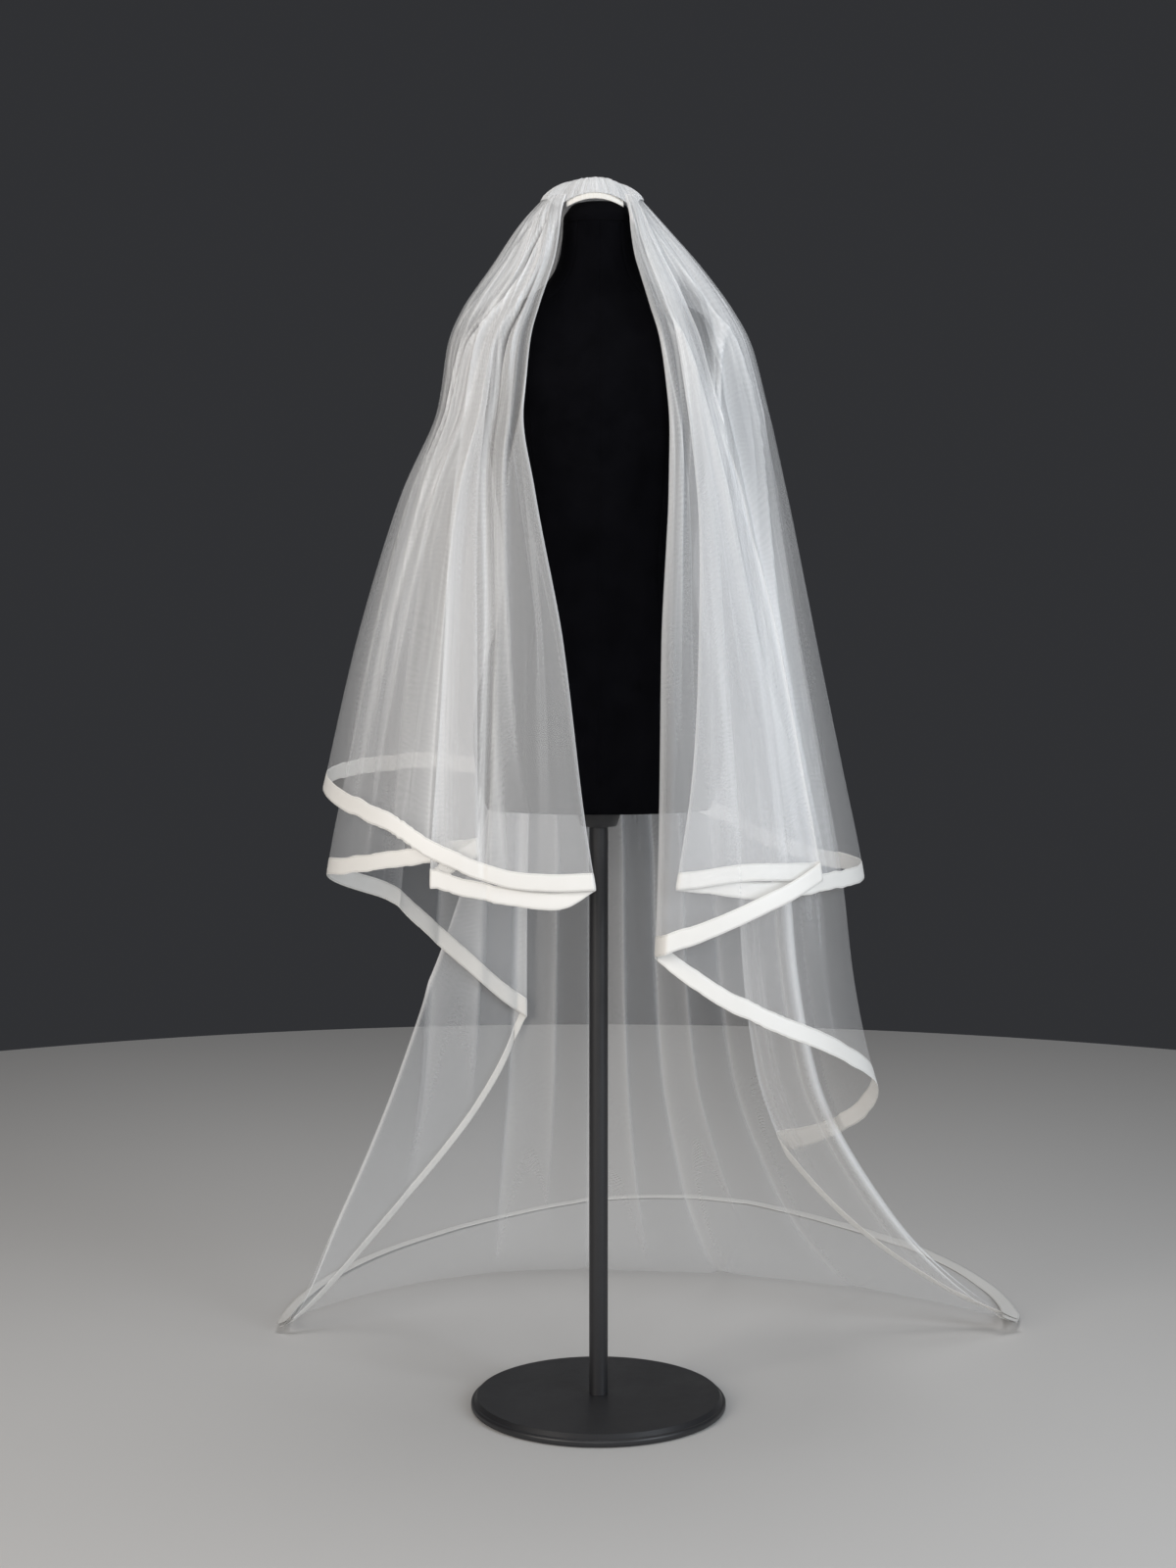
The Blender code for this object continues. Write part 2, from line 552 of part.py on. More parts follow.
def main():
    for thing in list(bpy.data.objects):
        bpy.data.objects.remove(thing, do_unlink=True)
    make_form()
    make_comb()
    make_header()
    for name in STRETCHES:
        make_stretch(name)


main()
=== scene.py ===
# %% [markdown]
# # A two-tier bridal veil on a dress form
# One large oval of nylon tulle is drawn up across its middle on a hair comb, so that the short part falls
# back over the long part and one satin ribbon runs all round the edge. It is worn here by a limbless velvet
# form. Everything is in metres, with the floor at height 0 and the form facing -Y.

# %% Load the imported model
import math

import bmesh
import bpy
import numpy as np
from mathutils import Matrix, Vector


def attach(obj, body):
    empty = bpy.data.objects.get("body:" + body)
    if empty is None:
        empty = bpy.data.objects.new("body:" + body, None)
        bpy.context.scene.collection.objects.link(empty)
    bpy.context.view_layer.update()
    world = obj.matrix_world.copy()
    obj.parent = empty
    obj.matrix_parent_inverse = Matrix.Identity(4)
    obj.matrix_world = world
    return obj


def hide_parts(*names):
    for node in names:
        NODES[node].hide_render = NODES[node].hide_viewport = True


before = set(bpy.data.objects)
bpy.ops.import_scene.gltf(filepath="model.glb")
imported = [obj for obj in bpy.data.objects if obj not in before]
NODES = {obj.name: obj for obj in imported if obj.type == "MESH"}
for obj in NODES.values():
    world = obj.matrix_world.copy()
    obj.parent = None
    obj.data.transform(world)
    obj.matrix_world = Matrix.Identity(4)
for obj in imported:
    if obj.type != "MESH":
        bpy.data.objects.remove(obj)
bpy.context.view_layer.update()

print("nodes in the model:", len(NODES))


# %% [markdown]
# ## The camera
# A veil is looked at from chest height, a few metres away, with a lens long enough to keep it upright. The
# camera stands there and points slightly down, as a person with a camera on a stand would set it.

# %% Camera
CAMERA_PLACE = (-0.014, -3.300, 1.100)
CAMERA_DOWN = 4.63  # degrees below level
FOCAL_PIXELS, PICTURE_HEIGHT = 2578, 1600  # focal length in the pixels of a 1200 x 1600 picture
SENSOR = 36.0
camera_data = bpy.data.cameras.new("camera")
camera_data.sensor_width = SENSOR
camera_data.lens = SENSOR * FOCAL_PIXELS / PICTURE_HEIGHT
camera = bpy.data.objects.new("camera", camera_data)
camera.location = CAMERA_PLACE
camera.rotation_euler = (math.radians(90 - CAMERA_DOWN), 0.0, 0.0)
bpy.context.collection.objects.link(camera)
bpy.context.scene.camera = camera
print("lens in mm:", round(camera_data.lens, 1))


# %% [markdown]
# ## Light and floor
# Sheer cloth shows by the light that its threads catch, so it needs a surround darker than itself. Two wide
# soft lights stand to the left and right of the camera, the left one a little warmer. A weaker one behind the
# camera fills in what they leave dark, and one above the crown lights the gathers and the train.

# %% Lights
LIGHTS = {
    # name: place, points at, width, height, watts, colour
    "left_softbox": ((-2.6, -2.7, 1.7), (0.0, 0.1, 0.9), 1.6, 2.0, 73.0, (1.0, 0.945, 0.88)),
    "right_softbox": ((2.7, -2.3, 1.6), (0.05, 0.1, 0.9), 1.5, 2.0, 73.0, (0.87, 0.935, 1.0)),
    "front_softbox": ((0.0, -4.2, 1.7), (0.0, 0.1, 0.8), 2.2, 1.6, 47.0, (1.0, 1.0, 1.0)),
    "top_softbox": ((0.1, 0.4, 3.4), (0.0, 0.15, 0.8), 1.8, 1.8, 38.0, (1.0, 1.0, 1.0)),
}


def softbox(name, place, target, width, height, watts, colour):
    """A wide area light that points at a target."""
    data = bpy.data.lights.new(name, "AREA")
    data.shape, data.size, data.size_y = "RECTANGLE", width, height
    data.energy, data.color = watts, colour
    light = bpy.data.objects.new(name, data)
    light.location = place
    light.rotation_euler = (Vector(target) - Vector(place)).to_track_quat("-Z", "Y").to_euler()
    bpy.context.collection.objects.link(light)


for light_name, settings in LIGHTS.items():
    softbox(light_name, *settings)
print("lights:", ", ".join(LIGHTS))

# %% Surround
DARK_STUDIO = (0.030, 0.031, 0.034, 1.0)
SHEER_LAYERS = 40  # a line of sight passes through many sheer layers, and each is counted
world = bpy.data.worlds.new("studio")
world.use_nodes = True
world.node_tree.nodes["Background"].inputs["Color"].default_value = DARK_STUDIO
world.node_tree.nodes["Background"].inputs["Strength"].default_value = 1.0
bpy.context.scene.world = world
bpy.context.scene.view_settings.view_transform = "Standard"  # keeps whites white and the velvet black
if hasattr(bpy.context.scene, "cycles"):
    bpy.context.scene.cycles.transparent_max_bounces = SHEER_LAYERS


# %% [markdown]
# ## How the materials are put together
# Each finish is one Principled shader. What changes over its surface, such as the net, the weave or the nap,
# comes from small node groups with named sockets, so that one effect can serve several finishes.

# %% Helpers for node trees
class Nodes:
    """Adds nodes to a tree and links them with few words."""

    def __init__(self, tree):
        self.tree = tree
        self.count = 0

    def add(self, kind, links=None, **settings):
        node = self.tree.nodes.new(kind)
        node.location = (self.count % 6 * 220 - 900, -(self.count // 6) * 260)
        self.count += 1
        for name, value in settings.items():
            setattr(node, name, value)
        for socket, source in (links or {}).items():
            target = node.inputs[socket]
            if isinstance(source, bpy.types.NodeSocket):
                self.tree.links.new(source, target)
            else:
                target.default_value = source
        return node

    def math(self, operation, *values):
        return self.add("ShaderNodeMath", dict(enumerate(values)), operation=operation).outputs[0]

    def blend(self, amount, low, high):
        node = self.add("ShaderNodeMapRange", {"Value": amount, "To Min": low, "To Max": high})
        return node.outputs[0]


def new_group(name, inputs, outputs):
    """An empty shader node group with named number or vector inputs and outputs."""
    tree = bpy.data.node_groups.new(name, "ShaderNodeTree")
    for socket, (kind, value) in inputs.items():
        made = tree.interface.new_socket(socket, in_out="INPUT", socket_type=kind)
        if value is not None:
            made.default_value = value
    for socket, kind in outputs.items():
        tree.interface.new_socket(socket, in_out="OUTPUT", socket_type=kind)
    nodes = Nodes(tree)
    return tree, nodes, nodes.add("NodeGroupInput"), nodes.add("NodeGroupOutput")


NUMBER, VECTOR = "NodeSocketFloat", "NodeSocketVector"


def new_material(name, colour, roughness, **constants):
    """A material with its Principled shader. What is the same all over goes on the shader's own sockets."""
    material = bpy.data.materials.new(name)
    material.use_nodes = True
    shader = material.node_tree.nodes["Principled BSDF"]
    shader.inputs["Base Color"].default_value = (*colour, 1.0)
    shader.inputs["Roughness"].default_value = roughness
    for socket, value in constants.items():
        shader.inputs[socket.replace("_", " ")].default_value = value
    return material, Nodes(material.node_tree), shader


# %% [markdown]
# ### Group: the net of the tulle
# Bridal tulle is a fine net of holes a millimetre or two wide. It could be a mesh of threads, but that is
# millions of faces, so the net is drawn on the cloth's flat pattern: two sets of slanting threads and a level
# one. Where the rows of holes crowd a little, the net looks denser. Those faint rows are the second output.

# %% Tulle net group
net_tree, net, net_in, net_out = new_group(
    "Tulle net",
    {"Cloth place": (VECTOR, None), "Holes per metre": (NUMBER, 800.0), "Thread share": (NUMBER, 0.3)},
    {"Threads": NUMBER, "Crowded rows": NUMBER},
)
net_xyz = net.add("ShaderNodeSeparateXYZ", {0: net_in.outputs["Cloth place"]})
SLANT_ACROSS, SLANT_DOWN = 0.866, 0.5  # the slanting threads stand 60 degrees apart
SWAY_SCALE = 9.0
ROWS_DOWN, ROWS_ACROSS, ROWS_SWAY = 860.0, 160.0, 75.0  # how fast the crowded rows turn, in radians a metre


def thread_set(across, down):
    """One set of parallel threads of the net: 1 on a thread, 0 in a hole."""
    run = net.math("MULTIPLY_ADD", net_xyz.outputs[0], across, net.math("MULTIPLY", net_xyz.outputs[1], down))
    wave = net.math("PINGPONG", net.math("MULTIPLY", run, net_in.outputs["Holes per metre"]), 0.5)
    edge = net.math("MULTIPLY", net_in.outputs["Thread share"], 0.5)
    return net.math("LESS_THAN", wave, edge)


slanting = net.math("MAXIMUM", thread_set(SLANT_ACROSS, SLANT_DOWN), thread_set(SLANT_ACROSS, -SLANT_DOWN))
net.tree.links.new(net.math("MAXIMUM", slanting, thread_set(0.0, 1.0)), net_out.inputs["Threads"])
sway = net.add(
    "ShaderNodeTexNoise", {"Vector": net_in.outputs["Cloth place"], "Scale": SWAY_SCALE, "Detail": 1.0}
)
sideways = net.math("MULTIPLY", sway.outputs[0], ROWS_SWAY)
swayed = net.math("MULTIPLY_ADD", net_xyz.outputs[0], ROWS_ACROSS, sideways)
rows = net.math("SINE", net.math("MULTIPLY_ADD", net_xyz.outputs[1], ROWS_DOWN, swayed))
net.tree.links.new(net.math("MULTIPLY_ADD", rows, 0.5, 0.5), net_out.inputs["Crowded rows"])
print("net group nodes:", len(net_tree.nodes))

# %% [markdown]
# ### Group: small pleats
# Where cloth is drawn up on a thread, it falls in countless small pleats that run down it and fade out.
# A pleat has three layers with a sharp edge on each side, so noise that is stretched along the cloth is cut
# at one value: above it lies a pleat, and where it crosses the value runs the pleat's bright edge.

# %% Small pleats group
pleat_tree, pleat, pleat_in, pleat_out = new_group(
    "Small pleats",
    {
        "Cloth place": (VECTOR, None),
        "Pleats per metre": (NUMBER, 60.0),
        "Drift": (NUMBER, 2.0),
        "Edge": (NUMBER, 0.02),
    },
    {"Pleats": NUMBER, "Edges": NUMBER, "Fine gathers": NUMBER},
)
pleat_xyz = pleat.add("ShaderNodeSeparateXYZ", {0: pleat_in.outputs["Cloth place"]})
PLEAT_FROM, PLEAT_EDGE, PLEAT_TO = 0.50, 0.515, 0.53  # the noise at a pleat's foot, edge and top
FINE_MORE, FINE_SHIFT, FINE_EDGE = 2.6, 7.3, 0.035  # fine gathers: how many more, their start, their width


def stretched_noise(more, shift, detail):
    """Noise that is long down the cloth and narrow across it."""
    finer = pleat.math("MULTIPLY", pleat_in.outputs["Pleats per metre"], more)
    across = pleat.math("MULTIPLY_ADD", pleat_xyz.outputs[0], finer, shift)
    down = pleat.math("MULTIPLY", pleat_xyz.outputs[1], pleat_in.outputs["Drift"])
    place = pleat.add("ShaderNodeCombineXYZ", {0: across, 1: down}).outputs[0]
    noise = {"Vector": place, "Scale": 1.0, "Detail": detail, "Roughness": 0.5}
    return pleat.add("ShaderNodeTexNoise", noise).outputs[0]


def ramp(value, low, high):
    """0 at low and 1 at high."""
    return pleat.add("ShaderNodeMapRange", {"Value": value, "From Min": low, "From Max": high}).outputs[0]


coarse_noise = stretched_noise(1.0, 0.0, 1.0)
pleat.tree.links.new(ramp(coarse_noise, PLEAT_FROM, PLEAT_TO), pleat_out.inputs["Pleats"])
beside = pleat.math("ABSOLUTE", pleat.math("SUBTRACT", coarse_noise, PLEAT_EDGE))
pleat.tree.links.new(ramp(beside, pleat_in.outputs["Edge"], 0.0), pleat_out.inputs["Edges"])
fine_noise = stretched_noise(FINE_MORE, FINE_SHIFT, 1.0)
fine_beside = pleat.math("ABSOLUTE", pleat.math("SUBTRACT", fine_noise, 0.5))
pleat.tree.links.new(ramp(fine_beside, FINE_EDGE, 0.0), pleat_out.inputs["Fine gathers"])
print("small pleats group nodes:", len(pleat_tree.nodes))

# %% [markdown]
# ### Group: woven satin
# Ribbon satin floats its threads along its length, so it has fine lines that way, and soft patches where it
# has been handled. The height goes to a bump, and the patches to colour and gloss.

# %% Satin weave group
satin_tree, satin, satin_in, satin_out = new_group(
    "Satin weave",
    {
        "Cloth place": (VECTOR, None),
        "Threads per metre": (NUMBER, 2600.0),
        "Floats per metre": (NUMBER, 260.0),
        "Patches per metre": (NUMBER, 18.0),
    },
    {"Height": NUMBER, "Patches": NUMBER},
)
satin_xyz = satin.add("ShaderNodeSeparateXYZ", {0: satin_in.outputs["Cloth place"]})
thread_place = satin.add(
    "ShaderNodeCombineXYZ",
    {
        0: satin.math("MULTIPLY", satin_xyz.outputs[0], satin_in.outputs["Floats per metre"]),
        1: satin.math("MULTIPLY", satin_xyz.outputs[1], satin_in.outputs["Threads per metre"]),
    },
)
threads = satin.add("ShaderNodeTexNoise", {"Vector": thread_place.outputs[0], "Scale": 1.0, "Detail": 1.0})
patch_place = satin.add("ShaderNodeVectorMath", {0: satin_in.outputs["Cloth place"]}, operation="SCALE")
satin.tree.links.new(satin_in.outputs["Patches per metre"], patch_place.inputs["Scale"])
patches = satin.add("ShaderNodeTexNoise", {"Vector": patch_place.outputs[0], "Scale": 1.0, "Detail": 3.0})
satin.tree.links.new(threads.outputs[0], satin_out.inputs["Height"])
satin.tree.links.new(patches.outputs[0], satin_out.inputs["Patches"])
print("satin group nodes:", len(satin_tree.nodes))


# %% [markdown]
# ### Tulle
# White nylon net. How much of what lies behind it is covered is its alpha: little in open net, more in the
# gathers under the comb and on creases and folded edges, where several layers lie together. The mesh says
# where it is gathered, creased, folded or opened, and the groups add what is finer than the mesh.

# %% Tulle material
HOLES_PER_METRE, THREAD_SHARE = 620.0, 0.34
PLEAT_DRIFT, PLEAT_EDGE_WIDTH = 0.9, 0.022
GATHER_COVER, CREASE_COVER, FOLD_COVER = 0.06, 0.44, 0.36  # what each adds where it is whole
GAP_LOSS = 0.80  # the share of its cover that the cloth loses in a gap
HOLE_COVER, THREAD_COVER, ROW_COVER = 0.66, 0.50, 0.08  # of the cover: in a hole, more on a thread or row
MOST_COVER = 0.95


def tulle_material(name, open_cover, pleats_per_metre, pleat_cover, edge_cover, fine_cover):
    """Sheer net: its cover in open cloth, and how much its pleats, their edges and its fine gathers add."""
    material, nodes, shader = new_material(
        name, (0.90, 0.905, 0.915), 0.55, Specular_IOR_Level=0.25, Sheen_Weight=0.10, Sheen_Roughness=0.4
    )
    place = nodes.add("ShaderNodeUVMap", uv_map="cloth").outputs[0]
    gathered, creased, folded, opened = (
        nodes.add("ShaderNodeAttribute", attribute_name=value).outputs["Fac"]
        for value in ("gathered", "creased", "folded", "opened")
    )
    threads = nodes.add("ShaderNodeGroup", node_tree=net_tree)
    threads.inputs["Holes per metre"].default_value = HOLES_PER_METRE
    threads.inputs["Thread share"].default_value = THREAD_SHARE
    small = nodes.add("ShaderNodeGroup", node_tree=pleat_tree)
    small.inputs["Pleats per metre"].default_value = pleats_per_metre
    small.inputs["Drift"].default_value = PLEAT_DRIFT
    small.inputs["Edge"].default_value = PLEAT_EDGE_WIDTH
    nodes.tree.links.new(place, threads.inputs["Cloth place"])
    nodes.tree.links.new(place, small.inputs["Cloth place"])
    added = nodes.math("MULTIPLY_ADD", small.outputs["Pleats"], pleat_cover, GATHER_COVER)
    added = nodes.math("MULTIPLY_ADD", small.outputs["Edges"], edge_cover, added)
    added = nodes.math("MULTIPLY_ADD", small.outputs["Fine gathers"], fine_cover, added)
    cover = nodes.math("MULTIPLY_ADD", gathered, added, open_cover)
    cover = nodes.math("MULTIPLY_ADD", creased, CREASE_COVER, cover)
    netted = nodes.math("MULTIPLY_ADD", threads.outputs["Threads"], THREAD_COVER, HOLE_COVER)
    netted = nodes.math("MULTIPLY_ADD", threads.outputs["Crowded rows"], ROW_COVER, netted)
    cover = nodes.math("MULTIPLY", cover, nodes.math("MULTIPLY_ADD", opened, -GAP_LOSS, 1.0))
    cover = nodes.math("MULTIPLY_ADD", folded, FOLD_COVER, nodes.math("MULTIPLY", cover, netted))
    nodes.tree.links.new(nodes.math("MINIMUM", cover, MOST_COVER), shader.inputs["Alpha"])
    ridges = nodes.math("ADD", small.outputs["Pleats"], small.outputs["Fine gathers"])
    raised = nodes.math("MULTIPLY", gathered, ridges)
    bump = nodes.add("ShaderNodeBump", {"Height": raised, "Strength": 0.6, "Distance": 0.002})
    nodes.tree.links.new(bump.outputs[0], shader.inputs["Normal"])
    return material


TULLE = tulle_material("tulle", 0.150, 13.0, 0.14, 0.34, 0.12)
HEADER_TULLE = tulle_material("gathered_tulle", 0.62, 60.0, 0.20, 0.25, 0.2)
print("tulle nodes:", len(TULLE.node_tree.nodes))


# %% [markdown]
# ### Satin ribbon
# The edge is a ribbon of ivory-white satin folded over the raw edge and sewn down. The stitches are small
# dents along both of its edges, so they are drawn on the ribbon's own flat place: along it, and across it.
# The dents are also painted darker towards a grey tone, which is painted shade.

# %% Satin material
RIBBON_WIDTH = 0.022
WORN_SHARES = (0.94, 0.93, 0.91)  # red, green and blue of a handled patch, as shares of the satin's own
STITCHES_PER_METRE, STITCH_SHARE = 330.0, 0.30
STITCH_ROW, STITCH_HALF = 0.0092, 0.00045  # how far a row lies from the ribbon's middle, and half its width
# the stitches' painted shade: the grey tone that their dents are darkened towards, and how far
STITCH_SHADE_TONE, STITCH_SHADE_SHARE = (0.52, 0.50, 0.47, 1.0), 0.45


def stitch_mask(nodes, place):
    """1 on the stitches of the two rows, and 0 between and beside them."""
    xyz = nodes.add("ShaderNodeSeparateXYZ", {0: place})
    repeated = nodes.math("PINGPONG", nodes.math("MULTIPLY", xyz.outputs[0], STITCHES_PER_METRE), 0.5)
    from_middle = nodes.math("ABSOLUTE", nodes.math("SUBTRACT", xyz.outputs[1], RIBBON_WIDTH / 2))
    from_row = nodes.math("ABSOLUTE", nodes.math("SUBTRACT", from_middle, STITCH_ROW))
    on_stitch = nodes.math("LESS_THAN", repeated, STITCH_SHARE)
    return nodes.math("MULTIPLY", on_stitch, nodes.math("LESS_THAN", from_row, STITCH_HALF))


def satin_material(name, colour, stitched):
    """Satin with its floating threads and handled patches, and with a ribbon's stitches where it has them."""
    material, nodes, shader = new_material(
        name, colour, 0.36, Specular_IOR_Level=0.45, Sheen_Weight=0.25, Sheen_Roughness=0.35
    )
    place = nodes.add("ShaderNodeUVMap", uv_map="cloth").outputs[0]
    weave = nodes.add("ShaderNodeGroup", node_tree=satin_tree)
    nodes.tree.links.new(place, weave.inputs["Cloth place"])
    worn = nodes.blend(weave.outputs["Patches"], 0.30, 0.46)
    nodes.tree.links.new(worn, shader.inputs["Roughness"])
    tone = nodes.add("ShaderNodeMix", {0: weave.outputs["Patches"]}, data_type="RGBA")
    tone.inputs["A"].default_value = (*(own * share for own, share in zip(colour, WORN_SHARES)), 1.0)
    tone.inputs["B"].default_value = (*colour, 1.0)
    height = nodes.math("MULTIPLY", weave.outputs["Height"], 0.25)
    colour_out = tone.outputs["Result"]
    if stitched:
        stitch = stitch_mask(nodes, place)
        height = nodes.math("SUBTRACT", height, stitch)
        # painted shade: the stitches' dents are darkened in colour as well as sunk in the bump
        dark = nodes.add("ShaderNodeMix", {0: nodes.math("MULTIPLY", stitch, STITCH_SHADE_SHARE)}, data_type="RGBA")
        nodes.tree.links.new(colour_out, dark.inputs["A"])
        dark.inputs["B"].default_value = STITCH_SHADE_TONE
        colour_out = dark.outputs["Result"]
    nodes.tree.links.new(colour_out, shader.inputs["Base Color"])
    bump = nodes.add("ShaderNodeBump", {"Height": height, "Strength": 0.5, "Distance": 0.0004})
    nodes.tree.links.new(bump.outputs[0], shader.inputs["Normal"])
    return material


RIBBON_SATIN = satin_material("ribbon_satin", (0.85, 0.838, 0.815), True)
BAND_SATIN = satin_material("band_satin", (0.86, 0.84, 0.80), False)
print("ribbon satin nodes:", len(RIBBON_SATIN.node_tree.nodes))


# %% [markdown]
# ### Velvet, plastic and painted metal
# The form is covered in black pile velvet, which is darkest head-on and catches light along its edges: that
# is sheen. Its nap is brushed unevenly. The comb is clear moulded plastic, and the stand is black metal.

# %% Velvet material
VELVET, nodes, shader = new_material(
    "velvet", (0.003, 0.003, 0.004), 0.95, Specular_IOR_Level=0.03, Sheen_Weight=0.022, Sheen_Roughness=0.30
)
object_place = nodes.add("ShaderNodeTexCoord").outputs["Object"]
brushing = {"Vector": object_place, "Scale": 26.0, "Detail": 5.0, "Roughness": 0.65}
nap = nodes.add("ShaderNodeTexNoise", brushing)
nap_tone = nodes.add("ShaderNodeMix", {0: nap.outputs[0]}, data_type="RGBA")
nap_tone.inputs["A"].default_value = (0.0008, 0.0008, 0.0012, 1.0)
nap_tone.inputs["B"].default_value = (0.0045, 0.0045, 0.0060, 1.0)
nodes.tree.links.new(nap_tone.outputs["Result"], shader.inputs["Base Color"])
pile = nodes.add("ShaderNodeTexNoise", {"Vector": object_place, "Scale": 1400.0, "Detail": 1.0})
seam_line = nodes.add("ShaderNodeAttribute", attribute_name="seam").outputs["Fac"]
seam_depth = nodes.math("MULTIPLY", seam_line, 2.0)
pile_height = nodes.math("SUBTRACT", nodes.math("MULTIPLY", pile.outputs[0], 0.4), seam_depth)
velvet_bump = nodes.add("ShaderNodeBump", {"Height": pile_height, "Strength": 0.6, "Distance": 0.001})
nodes.tree.links.new(velvet_bump.outputs[0], shader.inputs["Normal"])

# %% Plastic and metal materials
COMB_PLASTIC, nodes, shader = new_material("comb_plastic", (0.85, 0.86, 0.87), 0.18, Specular_IOR_Level=0.5)
shader.inputs["Alpha"].default_value = 0.55
comb_place = nodes.add("ShaderNodeTexCoord").outputs["Object"]
flow = nodes.add("ShaderNodeTexNoise", {"Vector": comb_place, "Scale": 160.0, "Detail": 3.0})
nodes.tree.links.new(nodes.blend(flow.outputs[0], 0.12, 0.30), shader.inputs["Roughness"])
tint = nodes.add("ShaderNodeMix", {0: flow.outputs[0]}, data_type="RGBA")
tint.inputs["A"].default_value = (0.80, 0.82, 0.84, 1.0)
tint.inputs["B"].default_value = (0.90, 0.90, 0.90, 1.0)
nodes.tree.links.new(tint.outputs["Result"], shader.inputs["Base Color"])
comb_bump = nodes.add("ShaderNodeBump", {"Height": flow.outputs[0], "Strength": 0.2, "Distance": 0.0003})
nodes.tree.links.new(comb_bump.outputs[0], shader.inputs["Normal"])
METAL, nodes, shader = new_material("stand_metal", (0.018, 0.018, 0.02), 0.38, Specular_IOR_Level=0.5)
metal_place = nodes.add("ShaderNodeTexCoord").outputs["Object"]
speckle = nodes.add("ShaderNodeTexNoise", {"Vector": metal_place, "Scale": 500.0, "Detail": 2.0})
scuffing = {"Vector": metal_place, "Scale": 14.0, "Detail": 6.0, "Roughness": 0.7}
scuffs = nodes.add("ShaderNodeTexNoise", scuffing)
nodes.tree.links.new(nodes.blend(scuffs.outputs[0], 0.28, 0.55), shader.inputs["Roughness"])
metal_bump = nodes.add("ShaderNodeBump", {"Height": speckle.outputs[0], "Strength": 0.15, "Distance": 0.0003})
nodes.tree.links.new(metal_bump.outputs[0], shader.inputs["Normal"])

# %% Floor material and floor
FLOOR_RADIUS, FLOOR_DROP = 2.9, 0.0006  # a hair below height 0, clear of the train
FLOOR, nodes, shader = new_material("floor", (0.58, 0.57, 0.56), 0.75)
floor_mesh = bmesh.new()
bmesh.ops.create_circle(floor_mesh, cap_ends=True, radius=FLOOR_RADIUS, segments=160)
floor_data = bpy.data.meshes.new("floor")
floor_mesh.to_mesh(floor_data)
floor_mesh.free()
floor = bpy.data.objects.new("floor", floor_data)
floor.location = (0.0, 0.0, -FLOOR_DROP)
floor_data.materials.append(FLOOR)
bpy.context.collection.objects.link(floor)
print("floor radius in metres:", FLOOR_RADIUS)


# %% [markdown]
# ## The hanging cloth
# The veil hangs as layers one inside another around the form. From above, each layer is an oval, given for a
# few heights. A line of the cloth runs down from the comb at a share of the oval's half width, and its cut
# length says where the edge is. The cloth between two folded lines is one stretch.
# It could be simulated, but then the zig-zag edge would fall where it liked, so it is laid by these tables.

# %% Sizes at each height
LEVEL_COLUMNS = ("height", "left", "right", "front", "back", "layer_gap", "lying")
LEVELS = {
    "ring": (1.590, 0.069, 0.052, 0.034, 0.050, 0.0024, 0.0),
    "crown": (1.555, 0.101, 0.084, 0.052, 0.078, 0.0026, 0.0),
    "neck": (1.500, 0.139, 0.133, 0.072, 0.104, 0.0028, 0.0),
    "collar": (1.445, 0.177, 0.174, 0.092, 0.122, 0.0030, 0.0),
    "shoulder": (1.405, 0.194, 0.196, 0.106, 0.136, 0.0032, 0.0),
    "bust": (1.320, 0.208, 0.219, 0.148, 0.162, 0.0038, 0.0),
    "ribs": (1.210, 0.256, 0.245, 0.160, 0.184, 0.0050, 0.0),
    "waist": (1.020, 0.316, 0.284, 0.170, 0.208, 0.0070, 0.0),
    "hip": (0.850, 0.356, 0.320, 0.178, 0.236, 0.0085, 0.0),
    "thigh": (0.720, 0.385, 0.347, 0.184, 0.268, 0.0095, 0.0),
    "knee": (0.560, 0.405, 0.369, 0.188, 0.316, 0.0100, 0.0),
    "calf": (0.400, 0.425, 0.410, 0.190, 0.380, 0.0100, 0.0),
    "shin": (0.180, 0.490, 0.560, 0.190, 0.500, 0.0100, 0.0),
    "floor": (0.010, 0.545, 0.760, 0.190, 0.630, 0.0020, 1.0),
    "train": (0.0005, 0.640, 0.860, 0.190, 0.820, 0.0, 1.0),
    "end": (0.0005, 0.860, 0.960, 0.190, 1.200, 0.0, 1.0),
}

